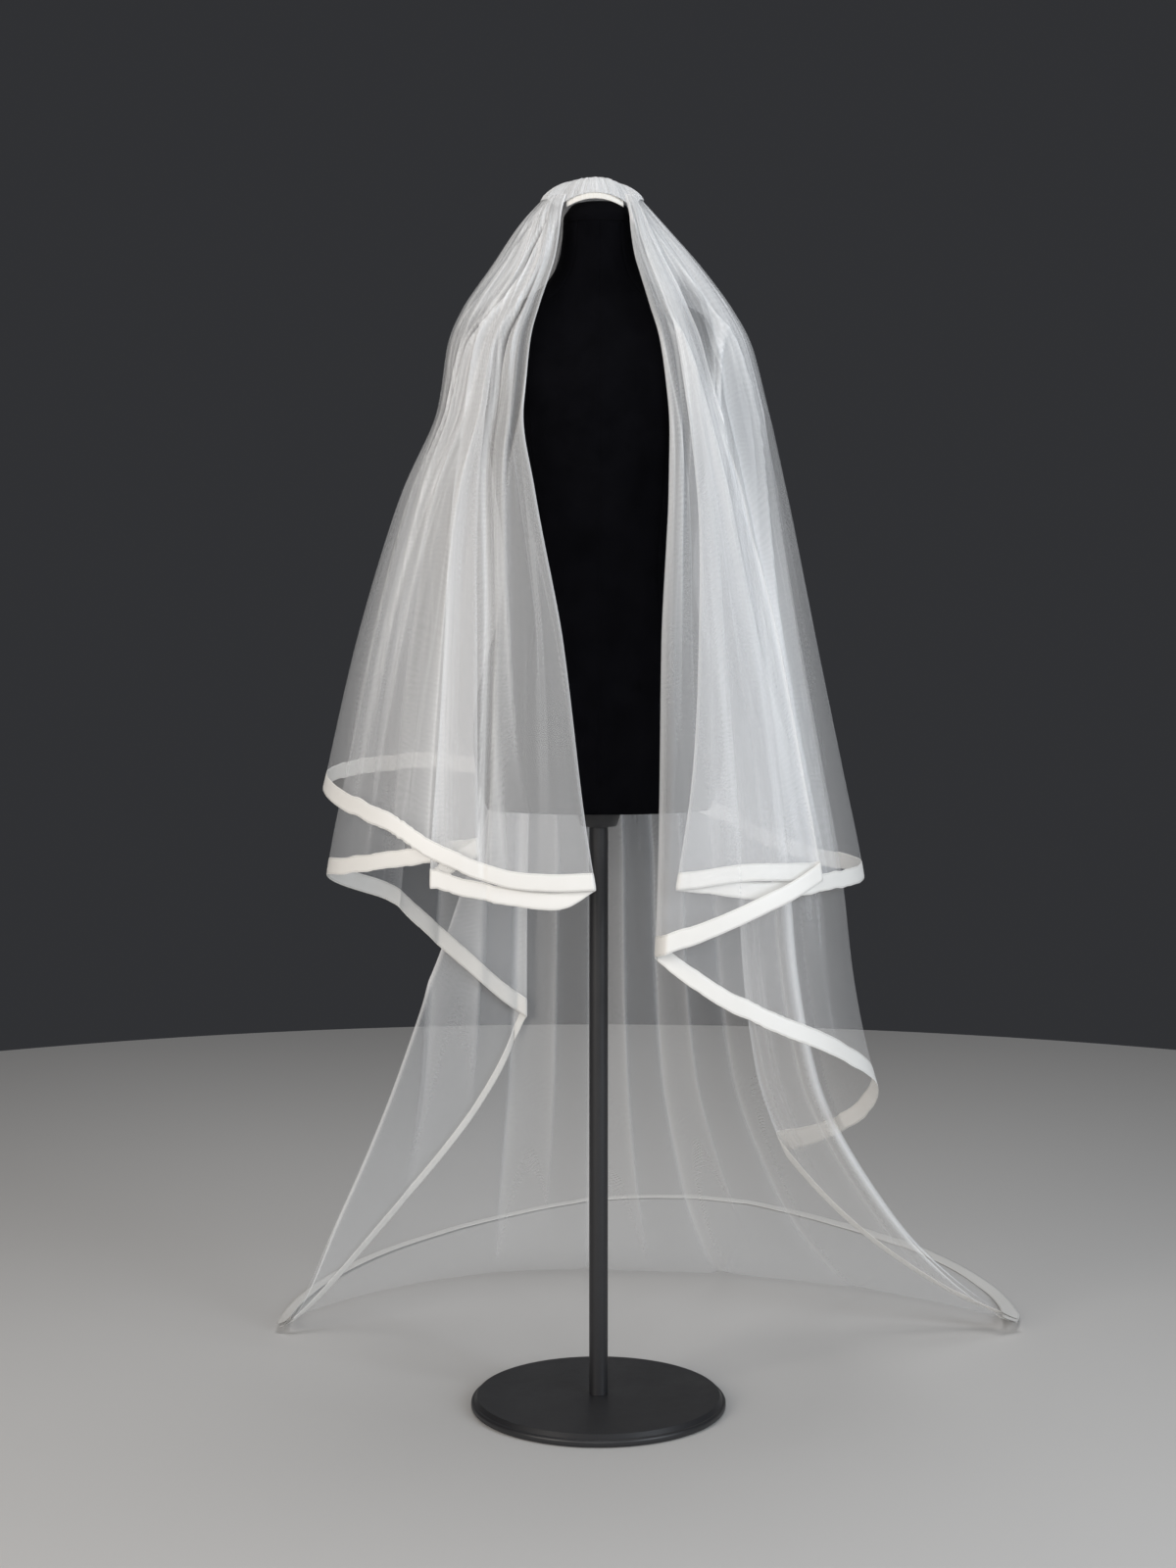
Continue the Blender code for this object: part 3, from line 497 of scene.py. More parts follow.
# %% Lines down the cloth
LINES = {
    # name: part of the oval, layer, share of the half width at the ring, neck, bust, ribs, waist and hem, cut
    "upper_back": ("BK", 0, 0.00, 0.00, 0.00, 0.00, 0.00, 0.00, 0.80),
    "upper_back_left": ("BK", 0, -0.60, -0.55, -0.62, -0.64, -0.63, -0.62, 0.797),
    "upper_side_left": ("BK", 0, -0.90, -0.88, -0.92, -0.93, -0.94, -0.94, 0.817),
    "left_side": ("LF", 0, -1.00, -1.00, -1.00, -1.00, -1.00, -0.99, 0.832),
    "left_front_a": ("LF", 0, -0.97, -0.86, -0.87, -0.83, -0.76, -0.73, 0.855),
    "left_front_b": ("LF", 0, -0.92, -0.68, -0.70, -0.65, -0.58, -0.58, 0.876),
    "left_front_c": ("LF", 0, -0.76, -0.48, -0.51, -0.42, -0.32, -0.28, 0.905),
    "left_inner_fold": ("LF", 0.5, -0.61, -0.42, -0.455, -0.315, -0.142, -0.01, 0.912),
    "left_second_a": ("LF", 1, -0.74, -0.48, -0.54, -0.40, -0.247, -0.15, 0.936),
    "left_groove": ("LF", 1, -0.88, -0.62, -0.67, -0.56, -0.455, -0.39, 0.925),
    "left_outer_fold": ("LF", 1.5, -0.94, -0.82, -0.82, -0.73, -0.63, -0.57, 0.920),
    "left_hidden_fold": ("LF", 2.5, -0.86, -0.70, -0.70, -0.62, -0.512, -0.42, 0.872),
    "left_fourth_a": ("LF", 3, -0.95, -0.84, -0.85, -0.83, -0.78, -0.74, 0.902),
    "left_fourth_b": ("LF", 3, -0.987, -0.959, -0.962, -0.959, -0.946, -0.933, 0.927),
    "left_corner": ("LF", 3, -1.00, -1.00, -1.00, -1.00, -1.00, -1.00, 0.939),
    "left_rear_a": ("BK", 3, -0.97, -0.94, -0.93, -0.92, -0.87, -0.79, 0.990),
    "left_rear_b": ("BK", 3, -0.88, -0.84, -0.82, -0.80, -0.74, -0.67, 1.027),
    "left_rear_fold": ("BK", 2.5, -0.50, -0.46, -0.43, -0.37, -0.29, -0.26, 1.17),
    "left_train_fold": ("BK", 1.5, -0.72, -0.66, -0.60, -0.50, -0.36, -0.86, 1.70),
    "train_left": ("BK", 1, -0.40, -0.36, -0.34, -0.30, -0.26, -0.34, 2.04),
    "train_back": ("BK", 6, 0.05, 0.05, 0.06, 0.07, 0.10, 0.16, 2.28),
    "train_right": ("BK", 6, 0.46, 0.44, 0.44, 0.46, 0.48, 0.56, 2.10),
    "right_train_fold": ("BK", 5, 0.85, 0.76, 0.80, 0.82, 0.84, 0.84, 1.78),
    "right_bunch": ("BK", 4, 0.80, 0.68, 0.72, 0.74, 0.77, 0.80, 1.735),
    "right_rear_fold": ("BK", 3.5, 0.70, 0.58, 0.60, 0.60, 0.62, 0.60, 1.40),
    "right_rear_a": ("BK", 3, 0.88, 0.78, 0.78, 0.80, 0.82, 0.84, 1.334),
    "right_corner": ("RF", 3, 1.00, 1.00, 1.00, 1.00, 1.00, 1.00, 1.227),
    "right_lower_c": ("RF", 3, 0.982, 0.943, 0.933, 0.927, 0.914, 0.897, 1.171),
    "right_lower_b": ("RF", 3, 0.93, 0.78, 0.74, 0.72, 0.67, 0.61, 1.10),
    "right_lower_a": ("RF", 3, 0.82, 0.58, 0.58, 0.54, 0.46, 0.40, 1.05),
    "right_inner_fold": ("RF", 0.5, 0.66, 0.362, 0.394, 0.357, 0.28, 0.20, 0.99),
    "right_diagonal_a": ("RF", -2, 0.72, 0.47, 0.512, 0.52, 0.48, 0.41, 0.965),
    "right_outer_fold": ("RF", -1.5, 0.81, 0.64, 0.67, 0.71, 0.77, 0.78, 0.92),
    "right_second_a": ("RF", -1, 0.76, 0.56, 0.58, 0.58, 0.58, 0.51, 0.906),
    "right_middle_fold": ("RF", -0.5, 0.70, 0.48, 0.50, 0.49, 0.43, 0.27, 0.91),
    "right_third_a": ("RF", 0, 0.86, 0.68, 0.68, 0.68, 0.68, 0.63, 0.934),
    "right_side": ("RF", 0, 1.00, 1.00, 1.00, 1.00, 1.00, 0.97, 0.952),
    "upper_side_right": ("BK", 0, 0.86, 0.84, 0.86, 0.86, 0.86, 0.86, 0.94),
}

# %% Stretches between two folds
STRETCHES = {
    # name: first line, last line, layer at the first and last line, whether the cloth turns back at each
    "upper_back": ("right_side", "left_side", 0, 0, 0, 0),
    "left_front": ("left_side", "left_inner_fold", 0, 0, 0, 1),
    "left_second": ("left_inner_fold", "left_outer_fold", 1, 1, 1, 1),
    "left_third": ("left_outer_fold", "left_hidden_fold", 2, 2, 1, 1),
    "left_fourth": ("left_hidden_fold", "left_corner", 3, 3, 1, 0),
    "left_rear": ("left_corner", "left_rear_fold", 3, 3, 0, 1),
    "left_rear_pleat": ("left_rear_fold", "left_train_fold", 2, 2, 1, 1),
    "long_back": ("left_train_fold", "right_train_fold", 1, 6, 1, 1),
    "right_rear_pleat": ("right_train_fold", "right_rear_fold", 4, 4, 1, 1),
    "right_rear": ("right_rear_fold", "right_corner", 3, 3, 1, 0),
    "right_lower": ("right_corner", "right_inner_fold", 3, 3, 0, 1),
    "right_diagonal": ("right_inner_fold", "right_outer_fold", -2, -2, 1, 1),
    "right_second": ("right_outer_fold", "right_middle_fold", -1, -1, 1, 1),
    "right_third": ("right_middle_fold", "right_side", 0, 0, 1, 0),
}
FLOOR_OVER = {"long_back": (1, 0), "right_rear_pleat": (1, 1)}  # which ends lie over another stretch
FLOOR_LIFT = 0.0036
TURN_MAX = 0.009  # the furthest that a fold takes to turn from one layer to the next
print(len(LINES), "lines in", len(STRETCHES), "stretches")

# %% [markdown]
# ## Creases
# Drawn-up tulle breaks into ridges that run from the comb over the shoulders. The main ones are listed:
# where each runs, as a share of the half width at five heights, how high and how wide it is, and the heights
# between which it shows. Layers that lie together share them, as nested cloth does.

# %% Main creases
CREASES = (
    # part of the oval, share at the ring, neck, bust, waist and thigh, height, width, from level, to level
    ("LF", -0.63, -0.63, -0.88, -0.85, -0.88, 0.0052, 0.0055, 0.3, 8.5),
    ("LF", -0.72, -0.67, -0.80, -0.87, -0.91, -0.0048, 0.0050, 0.4, 8.0),
    ("LF", -0.65, -0.55, -0.70, -0.62, -0.56, 0.0050, 0.0060, 0.3, 10.5),
    ("LF", -0.65, -0.50, -0.65, -0.45, -0.39, -0.0055, 0.0065, 0.3, 10.5),
    ("LF", -0.63, -0.50, -0.57, -0.60, -0.62, 0.0048, 0.0045, 0.4, 5.8),
    ("LF", -0.92, -0.71, -0.80, -0.80, -0.78, 0.0060, 0.0065, 0.2, 7.6),
    ("LF", -0.94, -0.75, -0.85, -0.87, -0.86, -0.0050, 0.0060, 0.2, 7.2),
    ("LF", -0.97, -0.84, -0.90, -0.91, -0.90, 0.0058, 0.0060, 0.2, 8.4),
    ("LF", -0.99, -0.92, -0.95, -0.96, -0.95, 0.0048, 0.0055, 0.2, 6.4),
    ("LF", -0.80, -0.48, -0.52, -0.36, -0.20, 0.0040, 0.0060, 0.5, 8.6),
    ("LF", -0.84, -0.56, -0.62, -0.42, -0.30, 0.0050, 0.0120, 5.0, 10.0),
    ("LF", -0.90, -0.68, -0.74, -0.60, -0.50, 0.0055, 0.0160, 5.5, 10.0),
    ("LF", -0.95, -0.82, -0.86, -0.75, -0.68, -0.0050, 0.0140, 5.5, 10.0),
    ("LF", -0.98, -0.94, -0.94, -0.87, -0.84, 0.0060, 0.0150, 5.5, 10.0),
    ("RF", 0.69, 0.42, 0.44, 0.34, 0.24, 0.0038, 0.0055, 0.5, 8.0),
    ("RF", 0.72, 0.47, 0.50, 0.44, 0.36, -0.0040, 0.0060, 0.4, 6.6),
    ("RF", 0.63, 0.43, 0.58, 0.67, 0.83, 0.0045, 0.0055, 0.3, 8.6),
    ("RF", 0.66, 0.62, 0.66, 0.79, 0.82, -0.0056, 0.0055, 0.3, 9.8),
    ("RF", 0.70, 0.77, 0.89, 0.82, 0.84, 0.0052, 0.0055, 0.3, 9.8),
    ("RF", 0.85, 0.83, 0.75, 0.80, 0.81, -0.0050, 0.0060, 0.2, 8.6),
    ("RF", 0.96, 0.97, 0.69, 0.60, 0.55, 0.0065, 0.0050, 3.0, 6.6),
    ("RF", 0.99, 0.95, 0.93, 0.92, 0.92, 0.0052, 0.0060, 0.2, 7.0),
    ("RF", 0.76, 0.52, 0.55, 0.52, 0.48, 0.0050, 0.0130, 5.5, 10.0),
    ("RF", 0.88, 0.74, 0.80, 0.70, 0.66, -0.0045, 0.0140, 5.5, 10.0),
    ("RF", 0.97, 0.93, 0.92, 0.89, 0.88, 0.0055, 0.0150, 5.5, 10.5),
    ("BK", -0.93, -0.92, -0.93, -0.91, -0.88, 0.0060, 0.0100, 0.2, 9.5),
    ("BK", -0.82, -0.80, -0.82, -0.80, -0.76, -0.0060, 0.0110, 0.2, 11.0),
    ("BK", -0.70, -0.67, -0.68, -0.66, -0.60, 0.0080, 0.0120, 0.2, 12.5),
    ("BK", -0.55, -0.52, -0.50, -0.47, -0.44, -0.0070, 0.0130, 0.2, 12.0),
    ("BK", -0.42, -0.38, -0.36, -0.34, -0.30, 0.0090, 0.0140, 0.2, 13.5),
    ("BK", -0.27, -0.24, -0.22, -0.20, -0.16, -0.0070, 0.0120, 0.2, 13.0),
    ("BK", -0.12, -0.10, -0.09, -0.06, -0.03, 0.0080, 0.0130, 0.2, 14.0),
    ("BK", 0.06, 0.07, 0.08, 0.10, 0.12, -0.0080, 0.0130, 0.2, 13.5),
    ("BK", 0.20, 0.20, 0.22, 0.23, 0.26, 0.0085, 0.0130, 0.2, 14.5),
    ("BK", 0.37, 0.36, 0.37, 0.38, 0.40, -0.0065, 0.0120, 0.2, 13.0),
    ("BK", 0.52, 0.50, 0.51, 0.53, 0.54, 0.0085, 0.0140, 0.2, 14.0),
    ("BK", 0.68, 0.64, 0.66, 0.67, 0.68, -0.0060, 0.0110, 0.2, 12.5),
    ("BK", 0.80, 0.77, 0.79, 0.80, 0.80, 0.0075, 0.0110, 0.2, 13.5),
    ("BK", 0.93, 0.91, 0.93, 0.92, 0.92, 0.0050, 0.0100, 0.2, 9.0),
)
print(len(CREASES), "main creases")

# %% [markdown]
# ### Gaps between the gathers
# Where two bunches of gathers part, only a layer or two is left, and the cloth looks darker there. The gaps
# are listed like the creases. Each has its half width, how open it is, and the levels where it starts
# and ends.

# %% Gaps between the gathers
GAPS = (
    # part of the oval, share at the ring, neck, bust, waist and thigh, half width, open, from level, to level
    ("LF", -0.70, -0.52, -0.64, -0.54, -0.54, 0.0030, 1.0, 1.6, 6.2),
    ("LF", -0.66, -0.68, -0.89, -0.90, -0.97, 0.0032, 1.0, 0.4, 6.0),
    ("LF", -0.74, -0.76, -0.93, -0.94, -0.97, 0.0065, 0.6, 1.8, 6.6),
    ("LF", -0.78, -0.89, -0.98, -0.98, -0.98, 0.0035, 0.9, 0.2, 4.2),
    ("LF", -0.61, -0.45, -0.50, -0.39, -0.26, 0.0090, 0.7, 0.6, 6.6),
    ("LF", -0.66, -0.51, -0.63, -0.43, -0.375, 0.0065, 0.6, 4.0, 10.0),
    ("RF", 0.74, 0.73, 0.65, 0.60, 0.55, 0.0240, 0.72, 1.9, 5.7),
    ("RF", 0.58, 0.40, 0.46, 0.36, 0.28, 0.0100, 0.7, 0.6, 6.6),
    ("RF", 0.68, 0.70, 0.74, 0.72, 0.70, 0.0030, 0.5, 4.4, 8.0),
    ("RF", 0.99, 0.98, 0.97, 0.96, 0.95, 0.0420, 0.32, 4.6, 13.0),
    ("LF", -0.98, -0.94, -0.96, -0.90, -0.88, 0.0900, 0.22, 5.6, 13.0),
    ("BK", -0.48, -0.45, -0.44, -0.42, -0.40, 0.0050, 0.6, 0.6, 9.0),
    ("BK", -0.20, -0.17, -0.15, -0.13, -0.10, 0.0040, 0.6, 0.6, 8.0),
    ("BK", 0.13, 0.14, 0.15, 0.17, 0.20, 0.0050, 0.6, 0.6, 9.5),
    ("BK", 0.45, 0.43, 0.44, 0.46, 0.48, 0.0045, 0.6, 0.6, 8.5),
)
print(len(GAPS), "gaps")


# %% [markdown]
# ## Curves through the tables
# All the tables are read through one kind of smooth curve, a monotone cubic. It never swings past its values,
# so a fold that is meant to hang straight does not bulge.

# %% Smooth curve
def monotone(x, knots, values):
    """A smooth curve through the values that never overshoots them. Rows of values have a curve each."""
    knots, values = np.asarray(knots, float), np.asarray(values, float)
    steps = np.diff(knots)
    slopes = (np.diff(values, axis=0).T / steps).T
    tangents = np.zeros_like(values)
    tangents[0], tangents[-1] = slopes[0], slopes[-1]
    for i in range(1, len(knots) - 1):
        before, after = slopes[i - 1], slopes[i]
        w1, w2 = 2 * steps[i] + steps[i - 1], steps[i] + 2 * steps[i - 1]
        same = before * after > 0
        harmonic = w1 / np.where(same, before, 1.0) + w2 / np.where(same, after, 1.0)
        tangents[i] = np.where(same, (w1 + w2) / harmonic, 0.0)
    x = np.clip(x, knots[0], knots[-1])
    i = np.clip(np.searchsorted(knots, x) - 1, 0, len(knots) - 2)
    h, t = steps[i], (x - knots[i]) / steps[i]
    start = values[i] * (1 + 2 * t) * (1 - t) ** 2 + h * tangents[i] * t * (1 - t) ** 2
    return start + values[i + 1] * t * t * (3 - 2 * t) + h * tangents[i + 1] * t * t * (t - 1)


def smooth_step(x, low, high):
    """0 below low, 1 above high, and a smooth rise between."""
    t = np.clip((x - low) / (high - low), 0.0, 1.0)
    return t * t * (3 - 2 * t)


# %% Sizes at every step of height
SHARE_LEVELS = (0, 2, 5, 6, 7)  # ring, neck, bust, ribs and waist, by their numbers in LEVELS
STEPS_PER_LEVEL = 16
LEVEL_STEPS = np.linspace(0, len(LEVELS) - 1, STEPS_PER_LEVEL * (len(LEVELS) - 1) + 1)
SIZES = {
    column: monotone(LEVEL_STEPS, range(len(LEVELS)), values)
    for column, values in zip(LEVEL_COLUMNS, np.array(list(LEVELS.values())).T)
}


def line_angle(place, share):
    """The angle of a line that lies at this share of the half width, measured from the back."""
    if place == "BK":
        return math.asin(share)
    return (math.pi if place == "RF" else -math.pi) - math.asin(share)


def half_sizes(angle):
    """Half of the oval's width and depth on the side where each angle lies."""
    across = np.where(np.sin(angle) > 0, SIZES["right"], SIZES["left"])
    return across, np.where(np.cos(angle) > 0, SIZES["back"], SIZES["front"])


# %% Main creases and gaps at every step of height
CREASE_LEVELS = (0, 2, 5, 7, 9)  # ring, neck, bust, waist and thigh
FADE_IN, FADE_OUT = (-0.2, 1.5), (-2.2, 0.0)  # levels beside its first and last over which a crease fades
HEM_FROM, HEM_TO, HEM_LOSS = 5.8, 7.6, 0.97  # a ribbon holds the front's edge flat
FULL_WIDTH = 0.0055  # a crease wider than this covers less
GAP_LEAST, GAP_OPENS = 0.05, 2.0  # a gap's least share of its width, and how much faster it opens


def run_down(place, shares, from_level, to_level):
    """The angle of a crease or gap at each step of height, and how much of it shows there."""
    angles = monotone(LEVEL_STEPS, CREASE_LEVELS, [line_angle(place, share) for share in shares])
    starts = smooth_step(LEVEL_STEPS, from_level + FADE_IN[0], from_level + FADE_IN[1])
    return angles, starts * (1 - smooth_step(LEVEL_STEPS, to_level + FADE_OUT[0], to_level + FADE_OUT[1]))


def from_ring(levels, shares):
    """Shares at a few levels, read at every step of height."""
    return np.interp(LEVEL_STEPS, levels, shares)


crease_angles, crease_heights, crease_covers, crease_widths = [], [], [], []
for place, *shares, height, width, from_level, to_level in CREASES:
    angles, shown = run_down(place, shares, from_level, to_level)
    crease_angles.append(angles)
    at_hem = 1 if place == "BK" else 1 - HEM_LOSS * smooth_step(LEVEL_STEPS, HEM_FROM, HEM_TO)
    crease_heights.append(height * shown * at_hem * from_ring((0, 2, 5), (0.15, 0.55, 1.0)))
    crease_covers.append(abs(height) * shown * min(1.0, FULL_WIDTH / width))
    crease_widths.append(width * from_ring((0, 2, 5, 9), (0.30, 0.70, 1.0, 1.5)))

gap_angles, gap_widths, gap_opens = [], [], []
for place, *shares, half_width, opened, from_level, to_level in GAPS:
    angles, shown = run_down(place, shares, from_level, to_level)
    gap_angles.append(angles)
    gap_widths.append(half_width * np.maximum(shown, GAP_LEAST) * from_ring((0, 2), (0.5, 1.0)))
    gap_opens.append(opened * np.minimum(shown * GAP_OPENS, 1.0))
gap_angles, gap_widths, gap_opens = map(np.array, (gap_angles, gap_widths, gap_opens))

# %% [markdown]
# ### Small gathers
# Between the main creases lie many small ones. They are spread by a seeded generator, finer and more numerous
# near the comb, and each fades out somewhere between the collar and the hip.

# %% Small gathers
SMALL_GATHERS = {
    # part of the oval: share of the first, share of the last at the ring and from the neck down, count
    "LF": (-1.0, -0.72, -0.40, 46),
    "RF": (1.0, 0.62, 0.34, 42),
    "BK": (-0.98, 0.98, 0.98, 70),
}
GATHER_REACH, GATHER_FADE = (3.0, 7.5), 2.5  # in levels
GATHER_RISE, GATHER_WIDTH = (0.0008, 0.0022), (0.0022, 0.0040)
SMALL_COVER = 0.4
rng = np.random.default_rng(7)
for place, (first, last_ring, last_neck, count) in SMALL_GATHERS.items():
    for i in range(count):
        t = (i + rng.uniform(0.1, 0.9)) / count
        ends = (last_ring, last_neck, last_neck)
        starts = [line_angle(place, first + (end - first) * t) for end in ends]
        reach = rng.uniform(*GATHER_REACH)
        fade = 1 - smooth_step(LEVEL_STEPS, reach - GATHER_FADE, reach)
        rise = rng.choice((-1, 1)) * rng.uniform(*GATHER_RISE)
        width = rng.uniform(*GATHER_WIDTH)
        crease_angles.append(monotone(LEVEL_STEPS, (0, 2, 5), starts))
        crease_heights.append(rise * fade * from_ring((0, 2, 5), (0.25, 0.7, 1.0)))
        crease_covers.append(SMALL_COVER * abs(crease_heights[-1]))
        crease_widths.append(width * from_ring((0, 2, 5), (0.35, 0.8, 1.5)))
crease_angles, crease_heights, crease_covers, crease_widths = map(
    np.array, (crease_angles, crease_heights, crease_covers, crease_widths)
)
print(len(crease_angles) - len(CREASES), "small gathers")


# %% The cloth's rise at any line down it
SLOPE, STEEP = 0.7, 2.2  # how fast a crease sinks on its sloping and on its steep side, per width
BROAD_SHARE, BROAD_FADE, SHARP_FADE, STEEP_FADE = 0.6, 0.55, 3.5, 8.0  # how its extra layer fades out
RIM_PLACE, RIM_WIDTH, RIM_COVER = 1.15, 0.0011, 0.0035  # the gathered rim on each side of a gap
GAP_DEPTH = 0.003


def arc_per_turn(angle):
    """Metres round the oval for each radian of turn, at each step of height."""
    across, deep = half_sizes(angle)
    return np.hypot(across * np.cos(angle), deep * np.sin(angle))


def crease_rise(angle):
    """How far the cloth stands out at this line, how much of a lapped crease lies here, and how open it is.
    A crease is steep on one side and slopes away on the other, where its extra layer fades out."""
    arc = arc_per_turn(angle)
    away = (angle - crease_angles) * arc / crease_widths * np.sign(crease_heights)
    near = np.exp(-np.where(away > 0, SLOPE * away, -STEEP * away))
    beyond = np.maximum(away, 0)
    fading = BROAD_SHARE * np.exp(-BROAD_FADE * beyond) + (1 - BROAD_SHARE) * np.exp(-SHARP_FADE * beyond)
    lapped = np.where(away > 0, fading, np.exp(STEEP_FADE * np.minimum(away, 0))) * crease_covers
    aside = abs(angle - gap_angles) * arc / gap_widths
    opened = gap_opens * np.exp(-(aside**4))
    rims = gap_opens * np.exp(-(((aside - RIM_PLACE) * gap_widths / RIM_WIDTH) ** 2))
    sunk = GAP_DEPTH * (1 - np.prod(1 - opened, axis=0)) * from_ring((0, 2), (0.2, 1.0))
    tops = lapped.sum(axis=0) + RIM_COVER * rims.max(axis=0)
    return (crease_heights * near).sum(axis=0) - sunk, tops, opened.max(axis=0)


# %% Paths down the cloth
def lay_path(angle, layer, rise=0.0):
    """The cloth from the ring down, where it lies at these angles and in these layers."""
    across, deep = half_sizes(angle)
    inwards = layer * SIZES["layer_gap"] - rise * (1 - SIZES["lying"])
    height = SIZES["height"] + np.maximum(rise, 0.0) * SIZES["lying"]
    return np.column_stack([(across - inwards) * np.sin(angle), (deep - inwards) * np.cos(angle), height])


def run_along(path):
    """The length of the path from its start to each of its points."""
    return np.concatenate([[0], np.cumsum(np.linalg.norm(np.diff(path, axis=0), axis=1))])


def along(run, values, lengths):
    """Values along a path, read at these lengths from its start."""
    return np.column_stack([np.interp(lengths, run, values[:, i]) for i in range(values.shape[1])])


FIRST_HEM, HEM_ROUNDS = 9.0, 5  # the hem's level is guessed, then found in a few rounds


def line_angles(name):
    """A line's angle at each step of height. Its last share is reached at its edge, which its cut gives."""
    place, layer, *shares, cut = LINES[name]
    hem = FIRST_HEM
    for _ in range(HEM_ROUNDS):
        knots = (*SHARE_LEVELS, min(hem, LEVEL_STEPS[-1]))
        angles = monotone(LEVEL_STEPS, knots, [line_angle(place, share) for share in shares])
        hem = float(np.interp(cut, run_along(lay_path(angles, layer)), LEVEL_STEPS))
    return angles


LINE_ANGLES = {name: line_angles(name) for name in LINES}


def hem_points():
    """Points on each line at the ribbon's upper and lower edges."""
    found = []
    for name, (_, layer, *_, cut) in LINES.items():
        path = lay_path(LINE_ANGLES[name], layer)
        found.append(along(run_along(path), path, [cut - RIBBON_WIDTH, cut]))
    return found


LEAST_SINE = 0.4  # where the edge runs nearly along the lines, it is taken to slant no more than this
hems = hem_points()
slants, steps, edges = [], [], []
for (above, edge), (_, next_edge) in zip(hems, hems[1:] + hems[:1]):
    down, aside = edge - above, next_edge - edge
    sine = np.linalg.norm(np.cross(down, aside)) / np.linalg.norm(down) / np.linalg.norm(aside)
    slants.append(1 / max(sine, LEAST_SINE))
    steps.append(float(np.linalg.norm(aside) * max(sine, LEAST_SINE)))
    edges.append(np.linalg.norm(aside))
RIBBON_LENGTHS = {name: RIBBON_WIDTH * (slants[i - 1] + slants[i]) / 2 for i, name in enumerate(LINES)}
CLOTH_ACROSS = dict(zip(LINES, np.concatenate([[0], np.cumsum(steps)[:-1]])))  # each line's place, laid flat
CLOTH_ROUND = sum(steps)
print("edge all round, in metres:", round(sum(edges), 2))


# %% Stretch of cloth
# how gathered the cloth is at each level of height
GATHERED = (1.0, 0.85, 0.72, 0.62, 0.55, 0.42, 0.28, 0.16, 0.09, 0.06, 0.04, 0.02, 0.0, 0.0, 0.0, 0.0)
LEAST_GAP = 0.0003  # between layers where they lie on the floor
FOLD_EDGE = 0.0012  # how far a fold's doubled edge shows
WHOLE_CREASE = 0.007  # rise that counts as a whole crease in the cloth's cover
FEWEST_COLUMNS = 8
TURN_COLUMNS, TURN_REACH = 10, 0.11  # more columns in a turned end, within this part of a line's number


class Stretch:
    """One stretch of cloth between two folds. Its paths are read at places from 0 to its last line's."""

    def __init__(self, name):
        names = list(LINES)
        first, last, first_layer, last_layer, *turns = STRETCHES[name]
        start, stop = names.index(first), names.index(last)
        stop += len(names) if stop <= start else 0
        self.lines = [names[i % len(names)] for i in range(start, stop + 1)]
        self.last = len(self.lines) - 1
        self.numbers = range(self.last + 1)
        self.angles = np.array([LINE_ANGLES[line] for line in self.lines])
        self.layers = [float(LINES[line][1]) for line in self.lines]
        self.over = FLOOR_OVER.get(name, (0, 0))
        self.turned = [0.0, 0.0]
        for end, (index, layer) in enumerate(((0, first_layer), (self.last, last_layer))):
            if turns[end]:
                self.turned[end] = self.layers[index] - layer
            self.layers[index] = float(layer)
        self.cuts = [(LINES[line][-1], RIBBON_LENGTHS[line]) for line in self.lines]
        places = [CLOTH_ACROSS[line] for line in self.lines]
        self.across = [p + (CLOTH_ROUND if p < places[0] else 0.0) for p in places]

    def path(self, place):
        """The cloth from the ring down, and how gathered, creased, folded and opened it is at each step."""
        angle = monotone(place, self.numbers, self.angles)
        layer = monotone(place, self.numbers, self.layers) + np.zeros_like(angle)
        gap = np.maximum(SIZES["layer_gap"], LEAST_GAP)
        folded = np.zeros_like(angle)
        for end, shift in enumerate(self.turned):
            if not shift:
                continue
            edge = self.angles[-end]
            arc = arc_per_turn(edge)
            reach = np.minimum(abs(shift) * gap, TURN_MAX) / arc
            near = np.clip(abs(angle - edge) / reach, 0, 1)
            layer += (1 - SIZES["lying"]) * shift * (1 - np.sqrt(1 - (1 - near) ** 2))
            folded = np.maximum(folded, np.exp(-abs(angle - edge) * arc / FOLD_EDGE))
        rise, tops, opened = crease_rise(angle)
        path = lay_path(angle, layer, rise)
        path[:, 2] += FLOOR_LIFT * np.interp(place, (0, self.last), self.over) * SIZES["lying"]
        gathered = np.interp(LEVEL_STEPS, range(len(GATHERED)), GATHERED)
        return path, np.column_stack([gathered, np.clip(tops / WHOLE_CREASE, 0, 1), folded, opened])

    def places(self, spacing):
        """Column places: even along the edge, and close together in a turned end."""
        width = self.across[-1] - self.across[0]
        count = max(FEWEST_COLUMNS, round(width / spacing))
        found = list(np.linspace(0, self.last, count + 1))
        for end, shift in enumerate(self.turned):
            if shift:
                extra = TURN_REACH * (np.arange(1, TURN_COLUMNS + 1) / TURN_COLUMNS) ** 2
                found += [self.last - e if end else e for e in extra]
        return np.unique(np.round(found, 5))


# %% [markdown]
# ### From paths to meshes
# Tulle is thinner than a hair is wide, so each stretch is one thin sheet of small faces. It keeps its place
# in the flat pattern as a UV map in metres, for the net and the pleats. The ribbon is folded over the edge,
# so it is a thin closed band with two faces and rounded rims.

# %% Mesh from a grid of points
def flat_place(across, down):
    """The flat place of each point of a grid, from its columns' places across and its rows' places down."""
    return np.stack(np.broadcast_arrays(across[None, :], down[:, None]), axis=-1)


